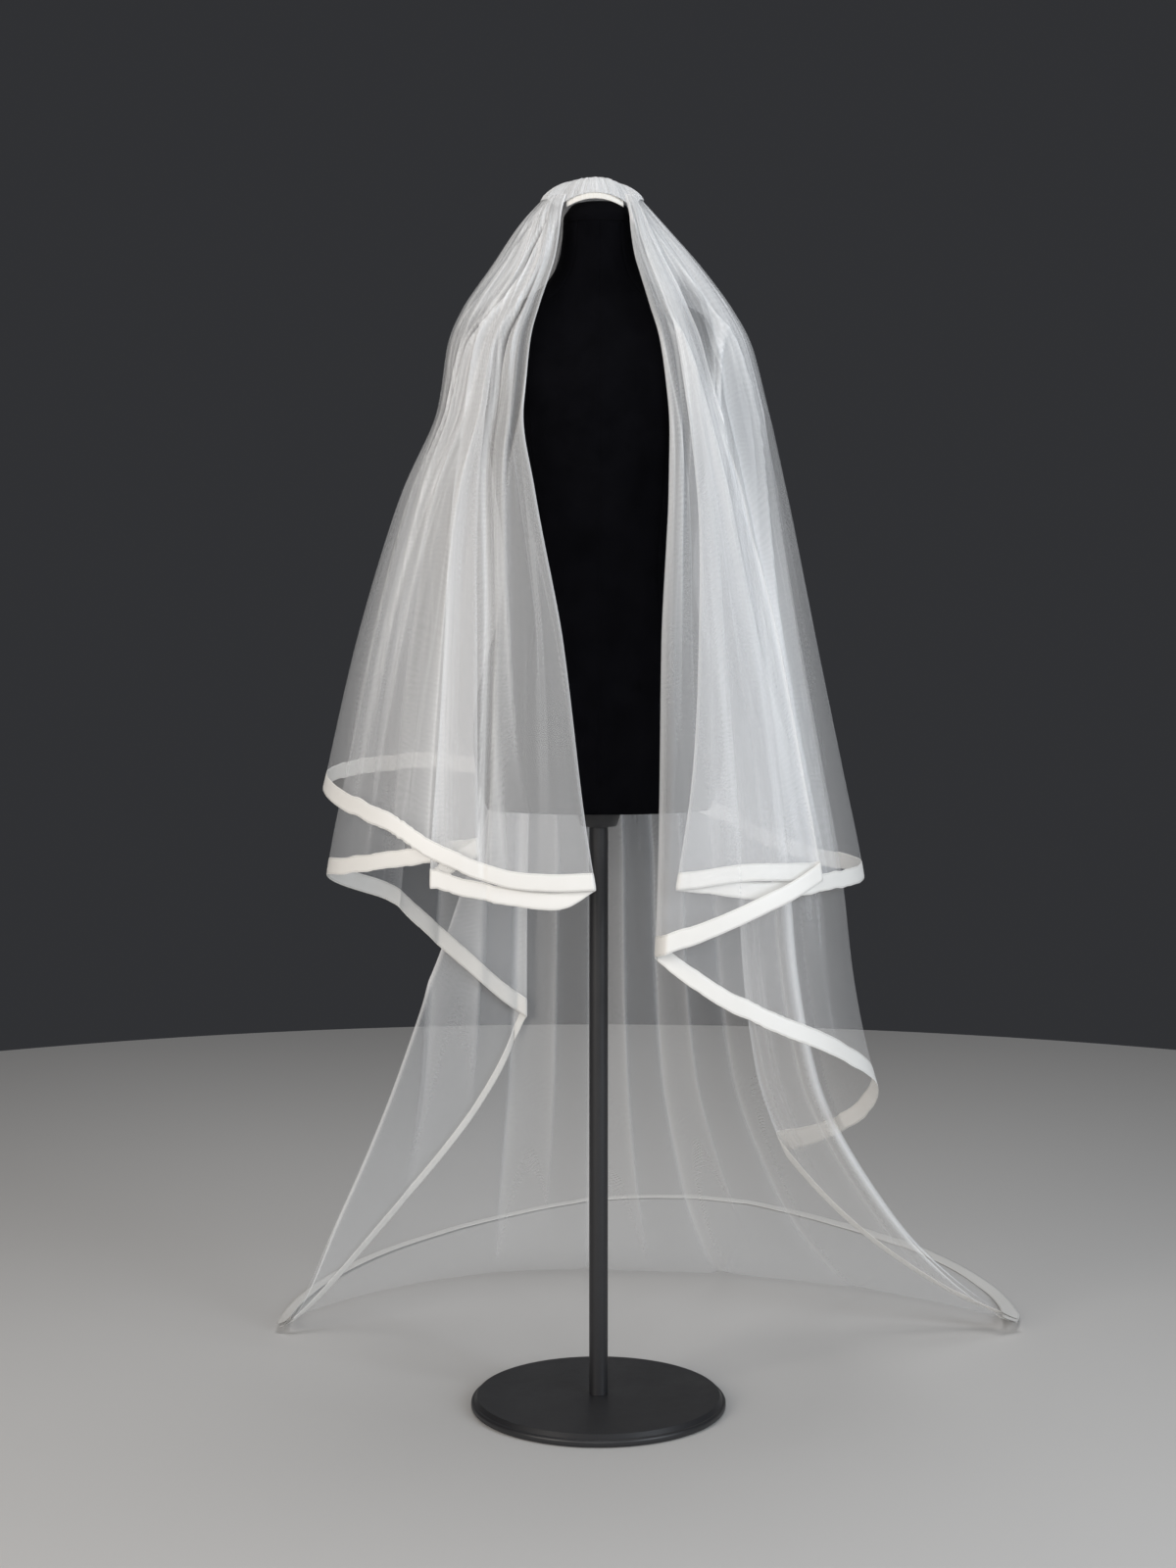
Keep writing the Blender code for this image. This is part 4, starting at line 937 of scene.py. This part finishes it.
def grid_mesh(name, grid, uv, values, closed=False):
    """A mesh over a grid of points, rows by columns, with its flat place and named values.
    closed joins the last row to the first."""
    rows, columns, _ = grid.shape
    numbers = np.arange(rows * columns).reshape(rows, columns)
    below = np.roll(numbers, -1, axis=0) if closed else numbers[1:]
    above = numbers if closed else numbers[:-1]
    quads = np.stack([above[:, :-1], below[:, :-1], below[:, 1:], above[:, 1:]], axis=-1).reshape(-1, 4)
    data = bpy.data.meshes.new(name)
    data.from_pydata(grid.reshape(-1, 3).tolist(), [], quads.tolist())
    layer = data.uv_layers.new(name="cloth")
    layer.data.foreach_set("uv", uv.reshape(-1, 2)[quads.reshape(-1)].ravel())
    for value_name, value in values.items():
        attribute = data.attributes.new(value_name, "FLOAT", "POINT")
        attribute.data.foreach_set("value", np.asarray(value, float).ravel())
    data.polygons.foreach_set("use_smooth", np.ones(len(quads), bool))
    data.update()
    thing = bpy.data.objects.new(name, data)
    bpy.context.collection.objects.link(thing)
    return thing


def mesh_area(thing):
    """The area of all faces, in square metres."""
    return sum(face.area for face in thing.data.polygons)


# %% Tulle and ribbon of a stretch
VALUE_NAMES = ("gathered", "creased", "folded", "opened")
TULLE_ROW, LONG_BACK_ROW = 0.0075, 0.0105
RIBBON_ROWS, RIBBON_THICK = 9, 0.0009
RIM_REACH, RIM_SHARE = 0.04, 0.25  # the ribbon thins to this share within this share of its width
UNDER_RIBBON = 0.002  # how far the tulle reaches under its ribbon


def ribbon_section():
    """The ribbon's section: places across its width from 0 to 1, and heights above its middle, all round."""
    half = RIBBON_THICK / 2
    across = np.linspace(0.0, 1.0, RIBBON_ROWS)
    swell = half * np.clip(np.minimum(across, 1 - across) / RIM_REACH, RIM_SHARE, 1.0)
    front = list(zip(across, swell))
    back = list(zip(across[::-1], -swell[::-1]))
    return np.array(front + back)


SECTION = ribbon_section()


def make_stretch(name, spacing):
    """One stretch of cloth: its paths, its tulle, and the ribbon along its edge."""
    cloth = Stretch(name)
    tulle, tulle_uv, tulle_values, ribbon, ribbon_u, downs = [], [], [], [], [], []
    longest = max(cut for cut, _ in cloth.cuts)
    rows = round(longest / (LONG_BACK_ROW if name == "long_back" else TULLE_ROW))
    shares = np.linspace(0, 1, rows + 1)
    for place in cloth.places(spacing):
        path, values = cloth.path(place)
        run = run_along(path)
        cut, ribbon_length = monotone(place, cloth.numbers, cloth.cuts)
        lengths = shares * (cut - ribbon_length + UNDER_RIBBON)
        tulle.append(along(run, path, lengths))
        tulle_values.append(along(run, values, lengths))
        across = float(monotone(place, cloth.numbers, cloth.across))
        tulle_uv.append(np.column_stack([np.full(rows + 1, across), lengths]))
        edge = cut - ribbon_length * (1 - SECTION[:, 0])
        ribbon.append(along(run, path, edge))
        downs.append(along(run, np.gradient(path, axis=0), edge))
        ribbon_u.append(across)
    tulle, tulle_uv, tulle_values = (np.stack(part, axis=1) for part in (tulle, tulle_uv, tulle_values))
    named = dict(zip(VALUE_NAMES, np.moveaxis(tulle_values, -1, 0)))
    sheet = grid_mesh(f"{name}_tulle", tulle, tulle_uv, named)
    sheet.data.materials.append(TULLE)
    ribbon, downs = np.stack(ribbon, axis=1), np.stack(downs, axis=1)
    normals = np.cross(downs, np.gradient(ribbon, axis=1))
    normals /= np.maximum(np.linalg.norm(normals, axis=2, keepdims=True), 1e-9)
    ribbon = ribbon + normals * SECTION[:, 1][:, None, None]
    ribbon[..., 2] = np.maximum(ribbon[..., 2], 0.0)
    ribbon_uv = flat_place(np.array(ribbon_u), SECTION[:, 0] * RIBBON_WIDTH)
    band = grid_mesh(f"{name}_ribbon", ribbon, ribbon_uv, {}, closed=True)
    band.data.materials.append(RIBBON_SATIN)
    return cloth, sheet, band


# %% Make all the stretches
FRONT_SPACING = 0.0025
SPACING = {"long_back": 0.0062, "upper_back": 0.0045, "left_rear": 0.0036, "right_rear": 0.0036}
PIECES = {}
for name in STRETCHES:
    PIECES[name] = make_stretch(name, SPACING.get(name, FRONT_SPACING))
    _, sheet, band = PIECES[name]
    print(name, "faces", len(sheet.data.polygons), "+", len(band.data.polygons))


# %% [markdown]
# ## The flat sizes of the cloth
# Each stretch of tulle is a sheet that was cut flat, so its flat size is worked out and printed: how wide it
# is along the edge, how long, and its area, which is less than the two multiplied because it narrows to the
# comb.
# It is never stated narrower than its area needs, nor so wide that it would fill hardly any of its
# rectangle.

SPARE, LEAST_FILL = 1.02, 0.31  # the rectangle is this much larger than the cloth, and this full at least
for name, (cloth, sheet, band) in PIECES.items():
    longest = max(LINES[line][-1] for line in cloth.lines)
    area = mesh_area(sheet)
    width = max(round(cloth.across[-1] - cloth.across[0], 3), area / longest * SPARE)
    width = min(width, area / longest / LEAST_FILL)
    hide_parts(f"tulle_{name}")
    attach(sheet, "root")
    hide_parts(f"ribbon_{name}")
    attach(band, "root")
    print(name, "width", round(width, 3), "length", longest, "area", round(area, 3))


# %% [markdown]
# ## The gathered header and its band
# The tulle passes over the comb in tight knife pleats and falls away on every side. It could be displaced
# cloth, but the pleats are fewer and sharper than noise, so each one is placed: a ridge line over the comb, a
# rim that follows the satin band in front and runs out over the cloth elsewhere, and uneven pleats between.

# %% Satin band's sizes
COMB_CENTRE, COMB_HALF = -0.005, 0.0350
BAND_FRONT, BAND_THICKNESS, BAND_HEIGHT = -0.0345, 0.0030, 0.0085
BAND_BASE, BAND_DROP, BAND_BEND = 1.5835, 0.0090, 0.0085

# %% Knife pleats
PLEAT_STRAY, LOWEST_PLEAT = 0.42, 0.35  # how far a pleat's edge strays, and the lowest pleat's height
PLEAT_DROP = 0.16  # the share of a pleat over which it drops


def knife_pleats(turn, count, maker):
    """Uneven pleats round a turn: each one rises slowly from 0 to its own height and drops at its edge."""
    edges = np.sort((np.arange(count) + maker.uniform(-PLEAT_STRAY, PLEAT_STRAY, count)) / count)
    heights = maker.uniform(LOWEST_PLEAT, 1.0, count + 1)
    share = np.mod(turn / (2 * math.pi), 1.0)
    index = np.searchsorted(edges, share)
    low = np.where(index > 0, edges[np.maximum(index - 1, 0)], edges[-1] - 1)
    high = np.where(index < count, edges[np.minimum(index, count - 1)], edges[0] + 1)
    inside = np.clip((share - low) / (high - low), 0, 1)
    return heights[index % count] * inside**1.3 * smooth_step(1 - inside, 0.0, PLEAT_DROP)


# %% Gathered header
HEADER_TOP, HEADER_RIM = 1.6138, 1.5905
RIDGE_HALF, RIDGE_CENTRE, RIDGE_DEEP = 0.023, -0.005, -0.006
RIDGE_DROP, RIDGE_CORNER = 0.0060, 0.003  # how far the ridge sinks to its ends, and more at its right end
RIM_GROWS, BAND_COVERS = 0.0016, 0.0012  # the rim stands outside the cloth, and just under the band's top
FOLD_GROWS = 0.9  # at the right front it stands out further, by this many layers of cloth
BAND_FROM, BAND_TO = 0.45, 0.72  # how far round to the front the rim turns up behind the band
PLEATS_FULL, RIDGE_END = 0.25, 0.5  # the share of the way out where pleats are full, and where the end begins
HEADER_SIDES, HEADER_ROWS, SKIRT_ROWS = 1200, 30, 8
SKIRT_LENGTH, SKIRT_SLOPE = 0.028, (0.57, 0.53, 0.76)  # the skirt's slope across, in depth and down
WIDE_PLEATS, FINE_PLEATS, FINE_SHARE, PLEAT_LIFT = 36, 96, 0.25, 0.0019
HEADER_CLOTH = (0.5, 0.05)  # the gathered cloth laid flat: metres for each radian of turn, and its length


def make_header():
    """The pleated tulle over the comb, from its ridge out to its rim and a little way down over the cloth."""
    _, left, right, front, back, gap, _ = LEVELS["ring"]
    turn = np.linspace(0, 2 * math.pi, HEADER_SIDES + 1)
    cosine, sine = np.cos(turn), np.sin(turn)
    maker = np.random.default_rng(5)
    pleats = knife_pleats(turn, WIDE_PLEATS, maker) + FINE_SHARE * knife_pleats(turn, FINE_PLEATS, maker)
    fold_side = smooth_step(cosine, 0.1, 0.8) * smooth_step(-sine, 0.0, 0.5)
    grow = RIM_GROWS + FOLD_GROWS * gap * fold_side
    across = np.where(cosine > 0, right, left) + grow
    deep = np.where(sine > 0, back, front) + RIM_GROWS
    rim_x, rim_y = across * cosine, deep * sine
    in_front = smooth_step(-sine, BAND_FROM, BAND_TO)
    band_top = BAND_BASE + BAND_HEIGHT - BAND_DROP * ((rim_x - COMB_CENTRE) / COMB_HALF) ** 2
    rim_z = HEADER_RIM + in_front * (band_top - BAND_COVERS - HEADER_RIM)
    ridge_x = RIDGE_CENTRE + RIDGE_HALF * cosine
    right_end = smooth_step(cosine, RIDGE_END, 1.0)
    ridge_z = HEADER_TOP - RIDGE_DROP * np.abs(cosine) ** 2 - RIDGE_CORNER * right_end
    grid, covers = [], []
    for row in range(HEADER_ROWS + SKIRT_ROWS + 1):
        share = row / HEADER_ROWS
        inside, past = min(share, 1.0), max(0.0, share - 1)
        bend = inside**0.9
        x = ridge_x + (rim_x - ridge_x) * bend
        y = RIDGE_DEEP + (rim_y - RIDGE_DEEP) * bend
        z = ridge_z + (rim_z - ridge_z) * inside**2.2
        if past > 0:
            hangs = past * SKIRT_LENGTH * (1 - in_front)
            x = x + cosine * hangs * SKIRT_SLOPE[0]
            y = y + sine * hangs * SKIRT_SLOPE[1]
            z = z - hangs * SKIRT_SLOPE[2]
        lift = PLEAT_LIFT * pleats * smooth_step(inside, 0.0, PLEATS_FULL) * (1 - 0.6 * past * 4)
        slope = 0.25 + 0.75 * inside
        x, y, z = x + lift * cosine * slope, y + lift * sine * slope, z + lift * (1.1 - slope)
        grid.append(np.column_stack([x, y, z]))
        covers.append(np.full(HEADER_SIDES + 1, 1 - past * HEADER_ROWS / SKIRT_ROWS))
    grid, covers = np.array(grid), np.array(covers)
    uv = flat_place(turn * HEADER_CLOTH[0], np.linspace(0.0, HEADER_CLOTH[1], len(grid)))
    values = {"gathered": covers, "creased": pleats[None, :] * covers}
    made = grid_mesh("ruched_header", grid, uv, values)
    made.data.materials.append(HEADER_TULLE)
    return made


header = make_header()
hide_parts("gathered_header")
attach(header, "root")
print("header faces", len(header.data.polygons))

# %% Satin band
BAND_COLUMNS, BAND_AROUND = 260, 20
BAND_PAST_COMB = 1.04  # the band's half length, as a share of the comb's
RUCHES = ((23, 0.4), (41, 0.3), (67, 0.2))  # waves along the band: radians for each half length, and share
RUCHE_RISE, BAND_CLOTH = 0.00035, 0.02  # how far the ruches stand out, and the satin's length round the band
SQUARE_DEEP, SQUARE_HIGH = 0.7, 0.6  # under 1 the band's section is squarer than an oval


def make_band():
    """A padded strip of satin over the comb's bar, slightly drawn up along its length."""
    maker = np.random.default_rng(11)
    share = np.linspace(-BAND_PAST_COMB, BAND_PAST_COMB, BAND_COLUMNS + 1)
    ruche = sum(part * np.sin(waves * share + maker.uniform(0, 6.28)) for waves, part in RUCHES)
    grid = []
    for i in range(BAND_AROUND):
        turn = 2 * math.pi * i / BAND_AROUND
        y = BAND_THICKNESS / 2 * (1 + math.copysign(abs(math.cos(turn)) ** SQUARE_DEEP, math.cos(turn)))
        z = BAND_HEIGHT / 2 * (1 + math.copysign(abs(math.sin(turn)) ** SQUARE_HIGH, math.sin(turn)))
        x = COMB_CENTRE + COMB_HALF * share
        puff = RUCHE_RISE * ruche * (1 if math.cos(turn) < 0 else 0)
        y = BAND_FRONT + BAND_BEND * share**2 + y - puff
        grid.append(np.column_stack([x, y, BAND_BASE - BAND_DROP * share**2 + z]))
    grid = np.array(grid)[::-1]
    uv = flat_place(share * COMB_HALF, np.linspace(0, BAND_CLOTH, BAND_AROUND))
    band = grid_mesh("comb_band", grid, uv, {}, closed=True)
    fill = bmesh.new()
    fill.from_mesh(band.data)
    bmesh.ops.holes_fill(fill, edges=[edge for edge in fill.edges if edge.is_boundary], sides=0)
    fill.to_mesh(band.data)
    fill.free()
    band.data.materials.append(BAND_SATIN)
    return band


band = make_band()
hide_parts("satin_band")
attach(band, "root")
NODES["comb"].data.materials.clear()
NODES["comb"].data.materials.append(COMB_PLASTIC)


# %% [markdown]
# ## The dress form
# The torso is padded and covered in velvet, sewn from panels: a seam down the middle of the front and back,
# one over each bust and shoulder blade, and one down each side. It is lofted through the model's own sections
# with many more sides, and the seams are shallow grooves.

# %% Torso
FORM_SECTIONS = (
    # height, half width, front, back
    (0.800, 0.146, 0.084, 0.100),
    (0.830, 0.158, 0.092, 0.110),
    (0.900, 0.166, 0.097, 0.114),
    (0.980, 0.152, 0.092, 0.100),
    (1.050, 0.130, 0.086, 0.082),
    (1.100, 0.122, 0.084, 0.076),
    (1.160, 0.126, 0.094, 0.080),
    (1.230, 0.137, 0.114, 0.088),
    (1.290, 0.145, 0.122, 0.094),
    (1.340, 0.151, 0.110, 0.098),
    (1.385, 0.160, 0.086, 0.096),
    (1.415, 0.164, 0.066, 0.086),
    (1.432, 0.152, 0.056, 0.076),
    (1.450, 0.118, 0.050, 0.066),
    (1.466, 0.082, 0.047, 0.058),
    (1.484, 0.058, 0.045, 0.050),
    (1.510, 0.048, 0.044, 0.046),
    (1.556, 0.046, 0.044, 0.046),
)
TORSO_ROWS, TORSO_SIDES, PADDING = 260, 240, 9  # the padding eases over this many rows
SEAMS, SEAM_WIDTH = (0, 52, 90, 128, 180, 232, 270, 308, 360), 0.0016  # places in degrees from the right side
VELVET_ROUND = 0.13  # metres of velvet for each radian of turn


def padded_over(rows, reach):
    """Rows that are eased into each other, as padding under cloth does, with the first and last ones kept."""
    weight = np.exp(-0.5 * (np.arange(-2 * reach, 2 * reach + 1) / reach) ** 2)
    longer = np.pad(rows, ((2 * reach, 2 * reach), (0, 0)), mode="reflect", reflect_type="odd")
    return np.column_stack([np.convolve(column, weight / weight.sum(), mode="valid") for column in longer.T])


def monotone_rows(x, knots, rows):
    """The smooth curve through rows of values, read at many places."""
    return np.array([monotone(one, knots, rows) for one in x])


def make_torso():
    """The velvet torso with its neck, through smooth sections, drawn in at its lower edge."""
    sections = np.array(FORM_SECTIONS)
    knots = np.concatenate([[0], np.cumsum(np.linalg.norm(np.diff(sections[:, :2], axis=0), axis=1))])
    rings = monotone_rows(np.linspace(0, knots[-1], TORSO_ROWS + 1), knots, sections)
    rings = padded_over(rings, PADDING)
    turn = np.linspace(0, 2 * math.pi, TORSO_SIDES + 1)
    cosine, sine = np.cos(turn), np.sin(turn)
    height, half, front, back = (column[:, None] for column in rings.T)
    deep = np.where(sine > 0, back, front)
    grid = np.stack([half * cosine, deep * sine, height + 0 * cosine], axis=-1)
    seams = np.zeros((TORSO_ROWS + 1, TORSO_SIDES + 1))
    for place in SEAMS:
        aside = (turn - math.radians(place)) * half
        seams = np.maximum(seams, np.exp(-(aside / SEAM_WIDTH) ** 2))
    return grid_mesh("velvet_torso", grid, flat_place(turn * VELVET_ROUND, height[:, 0]), {"seam": seams})


torso = make_torso()
closing = bmesh.new()
closing.from_mesh(torso.data)
bmesh.ops.remove_doubles(closing, verts=closing.verts[:], dist=1e-6)
bmesh.ops.holes_fill(closing, edges=[edge for edge in closing.edges if edge.is_boundary], sides=0)
bmesh.ops.recalc_face_normals(closing, faces=closing.faces[:])
closing.to_mesh(torso.data)
closing.free()
torso.data.materials.append(VELVET)
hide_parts("form_torso")
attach(torso, "root")
print("torso faces", len(torso.data.polygons))

# %% [markdown]
# ## Turned parts
# The neck's cap and the stand's collar, pole and base are round, so each is turned from its own profile, with
# small rounds where metal has them.

# %% Turned parts
SHARP_TURN = 0.6  # radians; an edge that turns more than this stays sharp


def make_turned(name, profile, material, node, sides=128):
    """A round part from its profile of height and radius, from the bottom up, closed at both ends."""
    turn = np.linspace(0, 2 * math.pi, sides + 1)
    heights, radii = np.array(profile).T[:, :, None] + 0 * turn
    grid = np.stack([radii * np.cos(turn), radii * np.sin(turn), heights], axis=-1)
    part = grid_mesh(name, grid, flat_place(turn, heights[:, 0]), {"seam": 0 * heights})
    joined = bmesh.new()
    joined.from_mesh(part.data)
    bmesh.ops.remove_doubles(joined, verts=joined.verts[:], dist=1e-7)
    bmesh.ops.recalc_face_normals(joined, faces=joined.faces[:])
    for edge in joined.edges:
        if len(edge.link_faces) == 2 and edge.calc_face_angle(0.0) > SHARP_TURN:
            edge.smooth = False
    joined.to_mesh(part.data)
    joined.free()
    part.data.materials.append(material)
    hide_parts(node)
    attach(part, "root")
    return part


def rounded(z, r, size, steps=6, up=True):
    """Profile points that round an outer edge at this height and radius."""
    found = []
    for i in range(steps + 1):
        turn = math.pi / 2 * i / steps
        if up:
            found.append((z - size + size * math.sin(turn), r - size + size * math.cos(turn)))
        else:
            found.append((z + size - size * math.cos(turn), r - size + size * math.sin(turn)))
    return found


NECK_CAP = (
    (1.5563, 0.0), (1.5563, 0.0460), (1.5600, 0.0459), (1.5640, 0.0455), (1.5675, 0.0438),
    (1.5705, 0.0412), (1.5745, 0.0386), (1.5782, 0.0352), (1.5804, 0.0310), (1.5818, 0.0250),
    (1.5828, 0.0180), (1.5832, 0.0080), (1.5832, 0.0),
)
make_turned("velvet_neck_cap", NECK_CAP, VELVET, "form_neck_cap")
BASE = (
    (0.0, 0.0), (0.0, 0.167), *rounded(0.0, 0.170, 0.003, up=False)[1:], *rounded(0.010, 0.170, 0.004),
    (0.0155, 0.1620), (0.0160, 0.1600), (0.0160, 0.0),
)
make_turned("black_stand_base", BASE, METAL, "stand_base", 192)
POLE = ((0.0163, 0.0), (0.0163, 0.0125), (0.7774, 0.0125), (0.7774, 0.0))
make_turned("black_stand_pole", POLE, METAL, "stand_pole", 64)
COLLAR = ((0.7777, 0.0), (0.7777, 0.0225), (0.7790, 0.0240), *rounded(0.7997, 0.030, 0.002), (0.7997, 0.0))
make_turned("black_stand_collar", COLLAR, METAL, "stand_collar", 96)
